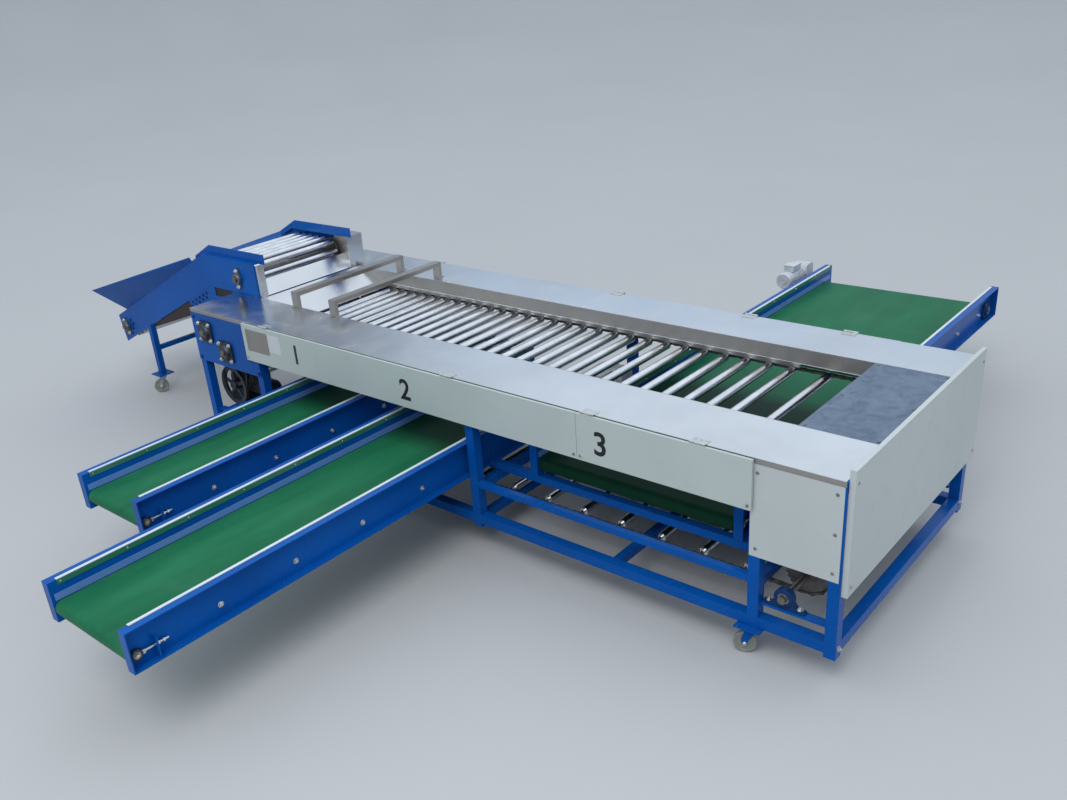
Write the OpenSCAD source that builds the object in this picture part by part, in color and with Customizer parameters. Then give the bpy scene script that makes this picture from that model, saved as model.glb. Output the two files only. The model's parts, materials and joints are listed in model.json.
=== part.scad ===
// Fruit grading machine: a chain-and-roller sizing bed in a tube frame, a feed elevator with a
// hopper, and three belt conveyors that carry the graded fruit away to both sides.
// The drawing frame has x = 0 at the exit end, y = 0 at the near long side and z = 0 at the
// post feet. place() then moves it so that z = 0 is the floor under the wheels and the middle
// of the machine stands over the origin.

/* [Main frame] */
// Length of the main frame
frame_l = 4165; // [4100:5:4400]
// Width of the main frame
frame_w = 1426; // [1400:2:1500]
// Height of the frame tubes above the post feet
frame_h = 797; // [780:1:830]
// Side of the frame tube
tube = 50; // [44:1:54]
// Wall of the frame tubes
tube_t = 3; // [2:0.5:4]
// Side of the smaller tube used for bearers and ties
bearer = 40; // [30:1:42]
// Exit end to the first post behind the drive bay
exit_post = 337; // [330:1:350]
// Exit end to the middle post
mid_post = 1866; // [1840:1:1880]
// Feed end to the post beside the feed bay
feed_bay = 625; // [605:1:665]
// Height of the bottom rails above the post feet
bottom_rail_z = 20; // [18:1:24]
// Height of the cross tubes under the conveyor bearers
bearer_z = 192; // [180:1:195]
// Near edge to the near conveyor bearer
bearer_inset = 196; // [190:1:200]
// Leg of the mid rail angle
mid_rail = 31; // [25:1:40]
// Underside of the mid rail angle
mid_rail_z = 229; // [220:1:235]
// Thickness of the slotted bearing rails and the motor plate
rail_t = 11; // [8:1:14]
// Thickness of the feed bay side plates
side_plate_t = 6; // [4:0.5:8]

/* [Sheet metal] */
// Thickness of the stainless sheets
sheet_t = 3; // [2:0.5:4]
// Width of the near top sheet
near_sheet_w = 338; // [332:1:342]
// Width of the far top sheet
far_sheet_w = 306; // [300:1:310]
// Drop of the folded lip on the top sheets
lip = 20; // [15:1:30]
// Length of the galvanised cover plate
cover_l = 345; // [335:1:350]
// Height of the side guards above and beside the rollers
side_guard_h = 79; // [70:1:84]
// Height of the end panel
end_panel_h = 547; // [500:1:560]
// Frame top down to the underside of the end panel
end_panel_drop = 499; // [477:1:507]
// Depth of the end panel fold
end_panel_d = 25; // [20:1:35]
// Height of the corner panels
corner_panel_h = 415; // [380:1:417]
// Width of the inverted U crossbars
crossbar_w = 50; // [40:1:60]
// Height of the crossbars above the top sheets
crossbar_h = 100; // [80:1:140]
// Bar thickness of the crossbars
crossbar_t = 25; // [20:1:30]

/* [Guard panels] */
// Height of the hinged guard panels
guard_h = 223; // [200:1:230]
// Depth of the folded edges of the guard panels
guard_d = 13; // [10:1:16]
// Sheet thickness of the guard panels
guard_t = 2; // [1.5:0.5:3]
// Exit end to the exit edge of the guard panels
guard_exit = 370; // [365:1:380]
// Exit end to the seam between the two panels
guard_seam = 1217; // [1190:1:1230]
// Feed end to the feed edge of the guard panels
guard_inset = 535; // [525:1:565]
// Width of a hinge
hinge_w = 72; // [50:1:90]
// Radius of the hinge knuckles
knuckle_r = 5; // [4.5:0.1:5.2]
// Radius of the hinge pins
pin_r = 2.5; // [2:0.1:3]

/* [Roller bed] */
// Pitch radius of the bed sprockets
bed_r = 100; // [95:1:102]
// Frame top down to the upper bed shafts
upper_drop = 223; // [217:1:229]
// Height of the lower bed shafts
lower_z = 187; // [186:0.5:190]
// Exit end to the exit shafts
exit_shaft = 240; // [236:1:244]
// Feed end to the feed shafts
feed_shaft_inset = 315; // [305:1:335]
// Diameter of the bed rollers
roller_d = 42; // [36:1:44]
// Each long side to the ends of the bed rollers
roller_inset = 293; // [290:1:298]
// Diameter of the roller ends
hub_d = 20; // [16:1:24]
// Number of sizing rollers on top of the bed
sizing_n = 29; // [27:1:29]
// Feed end to the first sizing roller
sizing_inset = 584; // [575:1:590]
// First gap between sizing rollers, centre to centre
sizing_pitch = 78; // [74:0.5:79]
// Growth of the gap from one roller to the next
sizing_growth = 1.65; // [1.3:0.05:1.7]
// Number of rollers on the rest of the chain loop
return_n = 25; // [20:1:30]
// Each long side to its bed chain
bed_chain_inset = 256; // [253:1:258]
// Depth of a chain side plate
chain_h = 18; // [14:1:20]
// Thickness of a chain side plate
chain_t = 4; // [3:0.5:5]
// Gap between the two side plates of a chain
chain_gap = 12; // [10:1:14]
// Teeth on a bed sprocket
bed_teeth = 26; // [20:1:30]
// Diameter of the bed shafts
shaft_d = 35; // [30:1:38]

/* [Feed elevator] */
// Top edge of the elevator side plates above the frame
elevator_h = 205; // [200:1:215]
// Feed end to the exit edge of the side plates, over the frame
elevator_overlap = 230; // [225:1:235]
// Feed end out to the bend in the top edge
bend_overhang = 320; // [305:1:335]
// Length of the sloping top edge
elevator_run = 1435; // [1400:5:1460]
// Slope of the elevator side plates in degrees
incline = 25.5; // [25.3:0.1:26]
// Near side of the frame to the elevator
elevator_near = 350; // [349:1:354]
// Far side of the frame to the elevator
elevator_far = 318; // [317:1:322]
// Thickness of the elevator side plates
elevator_t = 6; // [4:0.5:6]
// Pitch radius of the elevator sprockets
elevator_r = 74; // [70:0.5:74]
// Feed end to the head shaft, over the frame
head_inset = 50; // [47:1:55]
// Length of the level part of the elevator chain
level_run = 285; // [275:1:295]
// Length of the sloping part of the elevator chain
slope_run = 1399; // [1380:1:1405]
// Slope of the elevator chain in degrees
chain_incline = 24.4; // [24.2:0.1:24.6]
// Diameter of the elevator rollers
elevator_roller_d = 38; // [32:1:38]
// Number of elevator rollers
elevator_n = 57; // [50:1:58]
// Height of the guard band above the side plates
band_h = 62; // [50:1:80]
// Distance of the guard band inside the side plate
band_inset = 30; // [24:1:30]
// Flare of the hopper wings away from the side plates
wing_flare = 195; // [180:1:210]
// Height of the wing tips above their lower corners
wing_rise = 189; // [170:1:200]
// Feed end out to the elevator legs
leg_reach = 1141; // [1115:1:1165]
// Depth of the tray under the elevator at the frame
tray_d = 55; // [40:1:65]

/* [Conveyors] */
// Depth of the conveyor channels
channel_h = 186; // [180:1:195]
// Flange width of the conveyor channels
flange = 45; // [40:1:48]
// Web thickness of the conveyor channels
web_t = 5; // [4:0.5:6]
// Top of the belts above the channel underside
belt_top = 96; // [92:1:100]
// Belt thickness
belt_t = 3; // [2.5:0.5:4]
// Radius of the conveyor rollers
drum_r = 33; // [30:0.5:34]
// Channel end to the tail roller axis
tail_setback = 37; // [36:1:45]
// Channel end to the drive roller axis
drive_setback = 112; // [105:1:125]
// Feed side of the first conveyor, from the exit end
conveyor1_x = 3349; // [3330:1:3360]
// Width of the first conveyor
conveyor1_w = 541; // [520:1:560]
// Reach of the first conveyor beyond the near side
conveyor1_reach = 1267; // [1100:1:1400]
// Feed side of the second conveyor, from the exit end
conveyor2_x = 2545; // [2540:1:2560]
// Width of the second conveyor
conveyor2_w = 629; // [610:1:640]
// Reach of the second conveyor beyond the near side
conveyor2_reach = 1850; // [1600:1:1900]
// Far side to the inner end of the first two conveyors
inner_gap = 190; // [176:1:192]
// Feed side of the third conveyor, from the exit end
conveyor3_x = 1679; // [1670:1:1690]
// Width of the third conveyor
conveyor3_w = 1165; // [1150:1:1180]
// Near end of the third conveyor, from the near side
conveyor3_start = 190; // [180:1:195]
// Reach of the third conveyor beyond the far side
conveyor3_reach = 2086; // [1874:1:2174]

/* [Casters] */
// Diameter of the caster wheels
wheel_d = 100; // [90:1:104]
// Width of the caster wheels
wheel_w = 32; // [26:1:34]
// Trail of the caster wheels behind their pivots
trail = 28; // [20:1:32]
// Side of the caster base plates
caster_plate = 118; // [100:1:125]
// Distance between the bolt holes of a caster plate
plate_hole_span = 92; // [84:1:100]
// Radius of the bolt holes of a caster plate
plate_hole_r = 5.5; // [4:0.5:6]
// Height of the post feet above the floor
foot_h = 130; // [128:1:140]

/* [Hidden] */
$fn = 48;

// Gap between faces that lie beside each other without being joined
seat = 0.3;
// Radial clearance of a shaft or pin in its bearing
fit = 0.05;

BLUE = [0.07, 0.30, 0.68];
STAINLESS = [0.72, 0.73, 0.74];
GALVANISED = [0.42, 0.48, 0.56];
PANEL = [0.68, 0.72, 0.71];
DARK = [0.13, 0.13, 0.14];
GREEN = [0.10, 0.40, 0.26];
CHROME = [0.80, 0.82, 0.84];
BROWN = [0.25, 0.20, 0.17];
CASTING = [0.62, 0.64, 0.66];

// Frame
feed_post = frame_l - feed_bay;
feed_shaft = frame_l - feed_shaft_inset;
guard_feed = frame_l - guard_inset;
end_panel_z = frame_h - end_panel_drop;
post_x = [-frame_l, -feed_post - tube, -mid_post - tube, -exit_post - tube, -tube];
caster_top = 15;
caster_plate_t = 6;
top_z = frame_h + sheet_t;
top_rail_z = frame_h - tube;
tie_z = frame_h - bearer;
far_sheet_y = frame_w - far_sheet_w;
middle_y = frame_w / 2;
inner_rail_gap = 5;
feed_tie_x = -feed_shaft - 93;
feed_tie_face = feed_tie_x + bearer;
cover_x = -cover_l - 15;
channel_z = bearer_z + 2 * bearer;

// Bed chains and rollers
upper_z = frame_h - upper_drop;
chain_w = 2 * chain_t + chain_gap;
near_chain_y = bed_chain_inset;
far_chain_y = frame_w - bed_chain_inset;
roller_y0 = roller_inset;
roller_y1 = frame_w - roller_inset;
bed_top_z = upper_z + bed_r;
return_z = lower_z - bed_r;
sprocket_t = chain_gap - 2 * seat;

// Elevator chains
elevator_chain_inset = 18;
elevator_chain_h = 14;
elevator_chain_t = 3;
elevator_chain_gap = 10;
elevator_sprocket_t = elevator_chain_gap - 2 * seat;

// Elevator side plates: bend, nose, chin and knee are the corners of their outline
elevator_y0 = elevator_near;
elevator_y1 = frame_w - elevator_far;
elevator_exit = frame_l - elevator_overlap;
elevator_bend = frame_l + bend_overhang;
head_shaft = frame_l - head_inset;
head_z = frame_h + 98;
bend_x = -head_shaft - level_run;
tail_x = bend_x - slope_run * cos(chain_incline);
tail_z = head_z - slope_run * sin(chain_incline);
leg_x = frame_l + leg_reach;
nose_x = -elevator_bend - elevator_run * cos(incline);
nose_z = frame_h + elevator_h - elevator_run * sin(incline);
chin_x = nose_x + 43;
chin_z = nose_z - 196;
knee_x = -frame_l - 285;
// Height of the lower edge and of the sloping top edge of the side plates
function under_z(x) = chin_z + (x - chin_x) * (frame_h - chin_z) / (knee_x - chin_x);
function ridge_z(x) = frame_h + elevator_h + (x + elevator_bend) * tan(incline);

// Conveyor belts and rollers
belt_z = channel_z + belt_top;
drum_z = belt_z - belt_t - drum_r;

// Drive pulleys, and the two small chain drives from the feed shaft to the elevator
pulley_x = -frame_l + 175;
pulley_z = lower_z + 108;
pulley_r = 125;
pulley_y = 90;
pulley_w = 24;
pulley_shaft_r = 14;
small_pulley_r = 60;
groove_w = 14;
groove_d = 12;
gearbox_y = 112;
lay_x = -frame_l + 135;
lay_z = frame_h - 125;
link_y = 140;
link_r = 34;
link_teeth = 14;
lift_y = frame_w - 241;
lift_lay_r = 26;
lift_head_r = 30;
small_sprocket_t = 8;
shaft_overhang = 45;

inner_end = frame_w - inner_gap;
conveyor3_end = frame_w + conveyor3_reach;

// Limits of the whole machine, for place()
x_max = end_panel_d;
x_min = nose_x;
y_min = -conveyor2_reach;
y_max = conveyor3_end;

module place() {
  translate([-(x_min + x_max) / 2, -(y_min + y_max) / 2, foot_h]) children();
}

// The same piece mirrored to the far long side
module far_side() {
  translate([0, frame_w, 0]) mirror([0, 1, 0]) children();
}

module both_sides() {
  children();
  far_side() children();
}

// Square tubes with open ends, along each axis
module tube_x(x0, x1, y, z, side) {
  translate([x0, y, z]) difference() {
    cube([x1 - x0, side, side]);
    translate([-1, tube_t, tube_t]) cube([x1 - x0 + 2, side - 2 * tube_t, side - 2 * tube_t]);
  }
}

module tube_y(y0, y1, x, z, side) {
  translate([x, y0, z]) difference() {
    cube([side, y1 - y0, side]);
    translate([tube_t, -1, tube_t]) cube([side - 2 * tube_t, y1 - y0 + 2, side - 2 * tube_t]);
  }
}

module tube_z(z0, z1, x, y, side) {
  translate([x, y, z0]) difference() {
    cube([side, side, z1 - z0]);
    translate([tube_t, tube_t, -1]) cube([side - 2 * tube_t, side - 2 * tube_t, z1 - z0 + 2]);
  }
}

// A box from its lowest to its highest corner
module block(a, b) {
  translate(a) cube(b - a);
}

// An outline in x and z, made solid from y0 to y1
module in_xz(y0, y1) {
  translate([0, y1, 0]) rotate([90, 0, 0]) linear_extrude(y1 - y0) children();
}

module rod_y(x, z, y0, y1, r) {
  translate([x, y1, z]) rotate([90, 0, 0]) cylinder(h = y1 - y0, r = r);
}

module rod_x(y, z, x0, x1, r) {
  translate([x0, y, z]) rotate([0, 90, 0]) cylinder(h = x1 - x0, r = r);
}

// A sheet below a sloping line between two points in x and z
module sloped(a, b, t, y0, y1) {
  run = norm(b - a);
  angle = atan2(b[1] - a[1], b[0] - a[0]);
  translate([a[0], y1, a[1]]) rotate([90, 0, 0]) rotate([0, 0, angle])
    linear_extrude(y1 - y0) translate([0, -t]) square([run, t]);
}

// Frame

module frame_posts() {
  color(BLUE) for (i = [0 : len(post_x) - 1]) {
    foot = (i == 0 || i == 3) ? caster_top : 0;
    both_sides() tube_z(foot, top_rail_z, post_x[i], 0, tube);
  }
}

// Angle iron between the middle post and the drive bay, with two bolt holes
mid_rail_holes = [exit_post + 146, exit_post + 185];
module mid_rail_angle() {
  difference() {
    union() {
      block([-mid_post, 0, mid_rail_z], [-exit_post - tube, tube_t, mid_rail_z + mid_rail]);
      block([-mid_post, 0, mid_rail_z + mid_rail - tube_t],
            [-exit_post - tube, mid_rail, mid_rail_z + mid_rail]);
    }
    for (x = mid_rail_holes)
      translate([-x, 10, mid_rail_z + mid_rail / 2 - 2]) rotate([90, 0, 0]) cylinder(h = 20, r = 4);
  }
}

module frame_long_rails() {
  color(BLUE) {
    both_sides() {
      tube_x(-frame_l, 0, 0, top_rail_z, tube);
      for (i = [0 : len(post_x) - 2])
        tube_x(post_x[i] + tube, post_x[i + 1], 0, bottom_rail_z, tube);
      mid_rail_angle();
      tube_x(-feed_post - tube, -exit_post - 10, bearer_inset, bearer_z + bearer, bearer);
    }
    tube_x(feed_tie_face, -tube, near_sheet_w - inner_rail_gap - bearer, tie_z, bearer);
    tube_x(feed_tie_face, -tube, far_sheet_y + inner_rail_gap, tie_z, bearer);
  }
}

module frame_cross_rails() {
  inner0 = near_sheet_w - inner_rail_gap;
  inner1 = far_sheet_y + inner_rail_gap;
  color(BLUE) {
    tube_y(tube, frame_w - tube, -frame_l, tie_z, bearer);
    tube_y(tube, frame_w - tube, -tube, top_rail_z, tube);
    for (x = [-frame_l, -tube]) tube_y(tube, frame_w - tube, x, bottom_rail_z, tube);
    tube_y(tube, frame_w - tube, -mid_post - tube, bottom_rail_z, bearer);
    tube_y(tube, frame_w - tube, -(mid_post + exit_post) / 2, bottom_rail_z, bearer);
    tube_y(tube, frame_w - tube, feed_tie_x, tie_z, bearer);
    tube_y(inner0, inner1, cover_x, tie_z, bearer);
    for (i = [1 : 3]) tube_y(tube, frame_w - tube, post_x[i], bearer_z, bearer);
  }
}

// Rail with slots that lets a pillow block slide when the chain is tightened
rail_y = 20;
rail_w = 40;
slot_l = 32;
slot_w = 13;
module slotted_rail(x0, x1, shaft_x, z) {
  difference() {
    block([x0, rail_y, z], [x1, rail_y + rail_w, z + rail_t]);
    for (side = [-1, 1])
      translate([shaft_x + side * pillow_bolt - slot_l / 2, rail_y + (rail_w - slot_w) / 2, z - 1])
        cube([slot_l, slot_w, rail_t + 2]);
  }
}

// Plate over the outside of the feed bay, with holes for the two shafts it carries
side_plate_z = frame_h - 327;
module feed_side_plate() {
  difference() {
    block([-frame_l, -side_plate_t, side_plate_z], [-feed_post - 5, 0, frame_h - lip]);
    for (c = [[lay_x, lay_z], [-feed_shaft, upper_z]])
      rod_y(c[0], c[1], -side_plate_t - 1, 1, shaft_d / 2 + 6);
  }
}

motor_plate_l = 170;
module bearing_plates() {
  lower_rail_z = lower_z - pillow_h - rail_t;
  upper_rail_z = upper_z - pillow_h - rail_t;
  motor_plate_x = pulley_x - motor_plate_l / 2;
  color(BLUE) {
    both_sides() {
      feed_side_plate();
      slotted_rail(-exit_post, -tube, -exit_shaft, lower_rail_z);
      slotted_rail(-exit_post, -tube, -exit_shaft, upper_rail_z);
      slotted_rail(-frame_l + tube, -feed_post - tube, -feed_shaft, lower_rail_z);
    }
    block([motor_plate_x, rail_y + rail_w, lower_rail_z],
          [motor_plate_x + motor_plate_l, 236, lower_rail_z + rail_t]);
  }
}

// Sheets and panels

// One top sheet y0 to y1 with a lip over the feed end
sheet_end = 6;
module top_sheet(y0, y1) {
  x0 = -frame_l - sheet_t;
  block([x0, y0, frame_h], [-sheet_end, y1, top_z]);
  block([x0, y0, top_z - lip], [-frame_l, y1, frame_h]);
}

// Lip of a top sheet along the near long side
module side_lip() {
  block([-frame_l - sheet_t, -sheet_t, top_z - lip], [-sheet_end, 0, top_z]);
}

// The far sheet has a slot for the chain that drives the elevator
module top_sheets() {
  color(STAINLESS) {
    top_sheet(0, near_sheet_w);
    difference() {
      top_sheet(far_sheet_y, frame_w);
      translate([lay_x - 100, lift_y - 12, frame_h - 1]) cube([106, 24, sheet_t + 2]);
    }
    both_sides() side_lip();
  }
}

module cover_plate() {
  color(GALVANISED)
    block([cover_x, near_sheet_w + 0.5, frame_h], [-15, far_sheet_y - 0.5, top_z]);
}

// Folded tray over the exit end
module end_panel() {
  t = guard_t;
  y0 = 10;
  y1 = frame_w - 6;
  z0 = end_panel_z;
  z1 = end_panel_z + end_panel_h;
  color(PANEL) {
    block([end_panel_d - t, y0, z0], [end_panel_d, y1, z1]);
    block([0, y0, z0], [end_panel_d, y0 + t, z1]);
    block([0, y1 - t, z0], [end_panel_d, y1, z1]);
    block([0, y0, z0], [end_panel_d, y1, z0 + t]);
    block([5, y0, z1 - t], [end_panel_d, y1, z1]);
  }
}

corner_z1 = frame_h - lip - 2;
corner_z0 = corner_z1 - corner_panel_h;
module corner_panels() {
  color(PANEL) both_sides()
    block([-exit_post - tube + 3, -2, corner_z0], [-8, 0, corner_z1]);
}

// Upright guard beside the rollers
module side_guard() {
  block([feed_tie_face, 0, top_z - side_guard_h], [cover_x, sheet_t, top_z]);
}

// Angle strip below a side guard, over the ends of the rollers
strip_end = 735;
strip_h = 30;
module guide_strip(width) {
  x0 = feed_tie_face + 3;
  z1 = top_z - side_guard_h - seat;
  block([x0, 0, z1 - sheet_t], [-strip_end, width, z1]);
  block([x0, 0, z1 - strip_h], [-strip_end, sheet_t, z1]);
}

module side_guards() {
  near_strip_y = roller_y0 - 9;
  far_strip_y = roller_y1 + 8;
  color(STAINLESS) {
    translate([0, near_sheet_w, 0]) side_guard();
    translate([0, far_sheet_y - sheet_t, 0]) side_guard();
    translate([0, near_strip_y, 0]) guide_strip(near_sheet_w + sheet_t - near_strip_y);
    translate([0, far_strip_y, 0]) mirror([0, 1, 0])
      guide_strip(far_strip_y - far_sheet_y + sheet_t);
  }
}

// Inverted U over the bed, its feet on the two top sheets
crossbar_x = [frame_l - 605, frame_l - 943];
module crossbar(x) {
  y0 = near_sheet_w - crossbar_t;
  y1 = far_sheet_y + 40;
  block([x, y0, top_z + crossbar_h - crossbar_t],
        [x + crossbar_w, y1 + crossbar_t, top_z + crossbar_h]);
  for (y = [y0, y1]) block([x, y, top_z], [x + crossbar_w, y + crossbar_t, top_z + crossbar_h]);
  block([x, y0 - 20, top_z], [x + crossbar_w, y0, top_z + 4]);
  block([x, y1 + crossbar_t, top_z], [x + crossbar_w, y1 + crossbar_t + 20, top_z + 4]);
}

module crossbars() {
  color(STAINLESS) for (x = crossbar_x) crossbar(-x);
}

near_chute_h = 198;
far_chute_h = 204;
// Corner post of the chute: an angle that stands inside the elevator side plate
module chute_post(height) {
  x1 = feed_tie_face + 2;
  block([x1 - sheet_t, elevator_y0 - elevator_t, frame_h],
        [x1, elevator_y0 + 42, frame_h + height]);
  block([x1 - 44, elevator_y0, frame_h], [x1, elevator_y0 + sheet_t, frame_h + height]);
}

// Cover over the chain that drives the elevator, on the far side plate and open below
module lift_cover() {
  a = [-frame_l - 40, elevator_y1 + elevator_t, frame_h + 31];
  b = [-frame_l + 225, a[1] + 112, frame_h + 199];
  t = guard_t;
  block([a[0], b[1] - t, a[2]], b);
  block([a[0], a[1], b[2] - t], b);
  block(a, [a[0] + t, b[1], b[2]]);
  block([b[0] - t, a[1], a[2]], b);
}

// The transition plate leads down to the rollers, the chute plate from the elevator onto it
transition_end = frame_l - 555;
chute_top = frame_l - 170;
module feed_plates() {
  y0 = near_sheet_w + sheet_t + seat;
  y1 = far_sheet_y - sheet_t - seat;
  color(STAINLESS) {
    sloped([feed_tie_face + 1.3, frame_h - seat], [-transition_end, bed_top_z + 29],
           sheet_t, y0, y1);
    sloped([-chute_top, frame_h + 82], [feed_tie_face - 2, frame_h + 6], sheet_t,
           elevator_y0 + sheet_t + seat, elevator_y1 - sheet_t - seat);
    chute_post(near_chute_h);
    translate([0, elevator_y0 + elevator_y1, 0]) mirror([0, 1, 0]) chute_post(far_chute_h);
    lift_cover();
  }
}

// Chains and rollers

// Side plates of a roller chain: straight runs and turns, one pair for each run
module chain_pair(y, t, gap) {
  translate([0, y - gap / 2 - t, 0]) children();
  translate([0, y + gap / 2, 0]) children();
}

module chain_run(a, b, h, t) {
  run = norm(b - a);
  angle = atan2(b[1] - a[1], b[0] - a[0]);
  translate([a[0], t, a[1]]) rotate([90, 0, 0]) rotate([0, 0, angle])
    translate([seat / 2, -h / 2, 0]) cube([run - seat, h, t]);
}

module chain_turn(c, r, a0, a1, h, t) {
  translate([c[0], t, c[1]]) rotate([90, 0, 0]) rotate([0, 0, a0])
    rotate_extrude(angle = a1 - a0) translate([r - h / 2, 0]) square([h, t]);
}

module bed_chain_loop() {
  xf = -feed_shaft;
  xe = -exit_shaft;
  h = chain_h;
  t = chain_t;
  chain_run([xf, bed_top_z], [xe, bed_top_z], h, t);
  chain_run([xf, return_z], [xe, return_z], h, t);
  chain_run([xf - bed_r, lower_z], [xf - bed_r, upper_z], h, t);
  chain_run([xe + bed_r, lower_z], [xe + bed_r, upper_z], h, t);
  chain_turn([xe, upper_z], bed_r, 0, 90, h, t);
  chain_turn([xf, upper_z], bed_r, 90, 180, h, t);
  chain_turn([xf, lower_z], bed_r, 180, 270, h, t);
  chain_turn([xe, lower_z], bed_r, 270, 360, h, t);
}

kink = elevator_r * tan(chain_incline / 2);
slope_dir = [cos(chain_incline), sin(chain_incline)];
function slope_point(c, r, a) = [c[0] + r * cos(a), c[1] + r * sin(a)];

module elevator_chain_loop() {
  r = elevator_r;
  h = elevator_chain_h;
  t = elevator_chain_t;
  up = 90 + chain_incline;
  head = [-head_shaft, head_z];
  bend = [bend_x, head_z];
  tail = [tail_x, tail_z];
  corner = [bend_x - kink, head_z - r];
  chain_run([bend_x, head_z + r], [-head_shaft, head_z + r], h, t);
  chain_turn(bend, r, 90, up, h, t);
  chain_run(slope_point(tail, r, up), slope_point(bend, r, up), h, t);
  chain_turn(tail, r, up, up + 180, h, t);
  chain_run(slope_point(tail, r, up + 180), corner - 2 * slope_dir, h, t);
  chain_run(corner + [2, 0], [-head_shaft, head_z - r], h, t);
  chain_turn(head, r, -90, 90, h, t);
}

module roller_chains() {
  color(DARK) {
    for (y = [near_chain_y, far_chain_y])
      chain_pair(y, chain_t, chain_gap) bed_chain_loop();
    for (y = [elevator_y0 + elevator_chain_inset, elevator_y1 - elevator_chain_inset])
      chain_pair(y, elevator_chain_t, elevator_chain_gap) elevator_chain_loop();
  }
}

// Place on the bed chain loop at a distance from the exit end of its top run, going round
// by the exit end: [x, z]
bed_top_run = feed_shaft - exit_shaft;
bed_side_run = upper_z - lower_z;
quarter = PI * bed_r / 2;
bed_loop = 2 * bed_top_run + 2 * bed_side_run + 4 * quarter;
function turn_point(x, z, a0, s) =
  [x + bed_r * cos(a0 - s / bed_r * 180 / PI), z + bed_r * sin(a0 - s / bed_r * 180 / PI)];
function bed_point(s) =
  s < 0 ? [-exit_shaft + s, bed_top_z] :
  s < quarter ? turn_point(-exit_shaft, upper_z, 90, s) :
  s < quarter + bed_side_run ? [-exit_shaft + bed_r, upper_z - (s - quarter)] :
  s < 2 * quarter + bed_side_run ?
    turn_point(-exit_shaft, lower_z, 0, s - quarter - bed_side_run) :
  s < 2 * quarter + bed_side_run + bed_top_run ?
    [-exit_shaft - (s - 2 * quarter - bed_side_run), return_z] :
  s < 3 * quarter + bed_side_run + bed_top_run ?
    turn_point(-feed_shaft, lower_z, -90, s - 2 * quarter - bed_side_run - bed_top_run) :
  s < 3 * quarter + 2 * bed_side_run + bed_top_run ?
    [-feed_shaft - bed_r, lower_z + (s - 3 * quarter - bed_side_run - bed_top_run)] :
  s < 4 * quarter + 2 * bed_side_run + bed_top_run ?
    turn_point(-feed_shaft, upper_z, 180,
               s - 3 * quarter - 2 * bed_side_run - bed_top_run) :
  [-feed_shaft + (s - 4 * quarter - 2 * bed_side_run - bed_top_run), bed_top_z];

// First of the evenly spaced rollers, measured back along the top run from the exit shafts
last_sizing_gap = 355;
sizing_start = frame_l - sizing_inset;
// Sizing rollers from the feed end on, as many as lie clear of the last gap
function sizing_at(i) = -sizing_start + sizing_pitch * i + sizing_growth * i * (i - 1) / 2;
sizing_end = -exit_shaft - last_sizing_gap - sizing_pitch;
sizing_x = [for (i = [0 : sizing_n - 1]) if (sizing_at(i) < sizing_end) sizing_at(i)];
return_gap = (bed_loop - (sizing_start - exit_shaft) + last_sizing_gap) / return_n;

module roller(p, d, hub, y0, y1, end0, end1) {
  rod_y(p[0], p[1], y0, y1, d / 2);
  rod_y(p[0], p[1], end0, end1, hub / 2);
}

module bed_roller(p) {
  reach = chain_w / 2 + seat;
  roller(p, roller_d, hub_d, roller_y0, roller_y1, near_chain_y + reach, far_chain_y - reach);
}

module bed_rollers() {
  color(CHROME) {
    for (x = sizing_x) bed_roller([x, bed_top_z]);
    for (k = [0 : return_n - 1]) bed_roller(bed_point(k * return_gap - last_sizing_gap));
  }
}

// Place on the elevator chain loop at a distance from the head end of its top run: [x, z]
level_low = level_run - kink;
slope_low = slope_run - kink;
bend_run = elevator_r * chain_incline * PI / 180;
elevator_loop = level_run + bend_run + slope_run + 2 * PI * elevator_r + slope_low + level_low;
function elevator_point(s) =
  let (r = elevator_r, half = PI * r, up = 90 + chain_incline,
       s1 = s - level_run, s2 = s1 - bend_run, s3 = s2 - slope_run, s4 = s3 - half,
       s5 = s4 - slope_low, s6 = s5 - level_low)
  s < level_run ? [-head_shaft - s, head_z + r] :
  s1 < bend_run ? slope_point([bend_x, head_z], r, 90 + s1 / r * 180 / PI) :
  s2 < slope_run ? slope_point([bend_x, head_z], r, up) - s2 * slope_dir :
  s3 < half ? slope_point([tail_x, tail_z], r, up + s3 / r * 180 / PI) :
  s4 < slope_low ? slope_point([tail_x, tail_z], r, up + 180) + s4 * slope_dir :
  s5 < level_low ? [bend_x - kink + s5, head_z - r] :
  slope_point([-head_shaft, head_z], r, -90 + s6 / r * 180 / PI);

// Part of a pitch from the head shaft to the first roller
elevator_phase = 0.24;
module elevator_rollers() {
  reach = elevator_chain_inset + elevator_chain_gap / 2 + elevator_chain_t;
  color(CHROME) for (k = [0 : elevator_n - 1])
    roller(elevator_point((k + elevator_phase) * elevator_loop / elevator_n), elevator_roller_d, 12,
           elevator_y0 + 34, elevator_y1 - 34,
           elevator_y0 + reach + seat, elevator_y1 - reach - seat);
}

// Sprocket outline: a disc with teeth that stand between the chain rollers
module sprocket(x, z, y, r, teeth, t) {
  tip = r + 4;
  root = r - 5;
  step = 360 / teeth;
  points = [for (i = [0 : teeth - 1]) each [
    tip * [cos((i - 0.12) * step), sin((i - 0.12) * step)],
    tip * [cos((i + 0.12) * step), sin((i + 0.12) * step)],
    root * [cos((i + 0.35) * step), sin((i + 0.35) * step)],
    root * [cos((i + 0.65) * step), sin((i + 0.65) * step)]]];
  translate([x, y + t / 2, z]) rotate([90, 0, 0]) linear_extrude(t) polygon(points);
}

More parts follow.
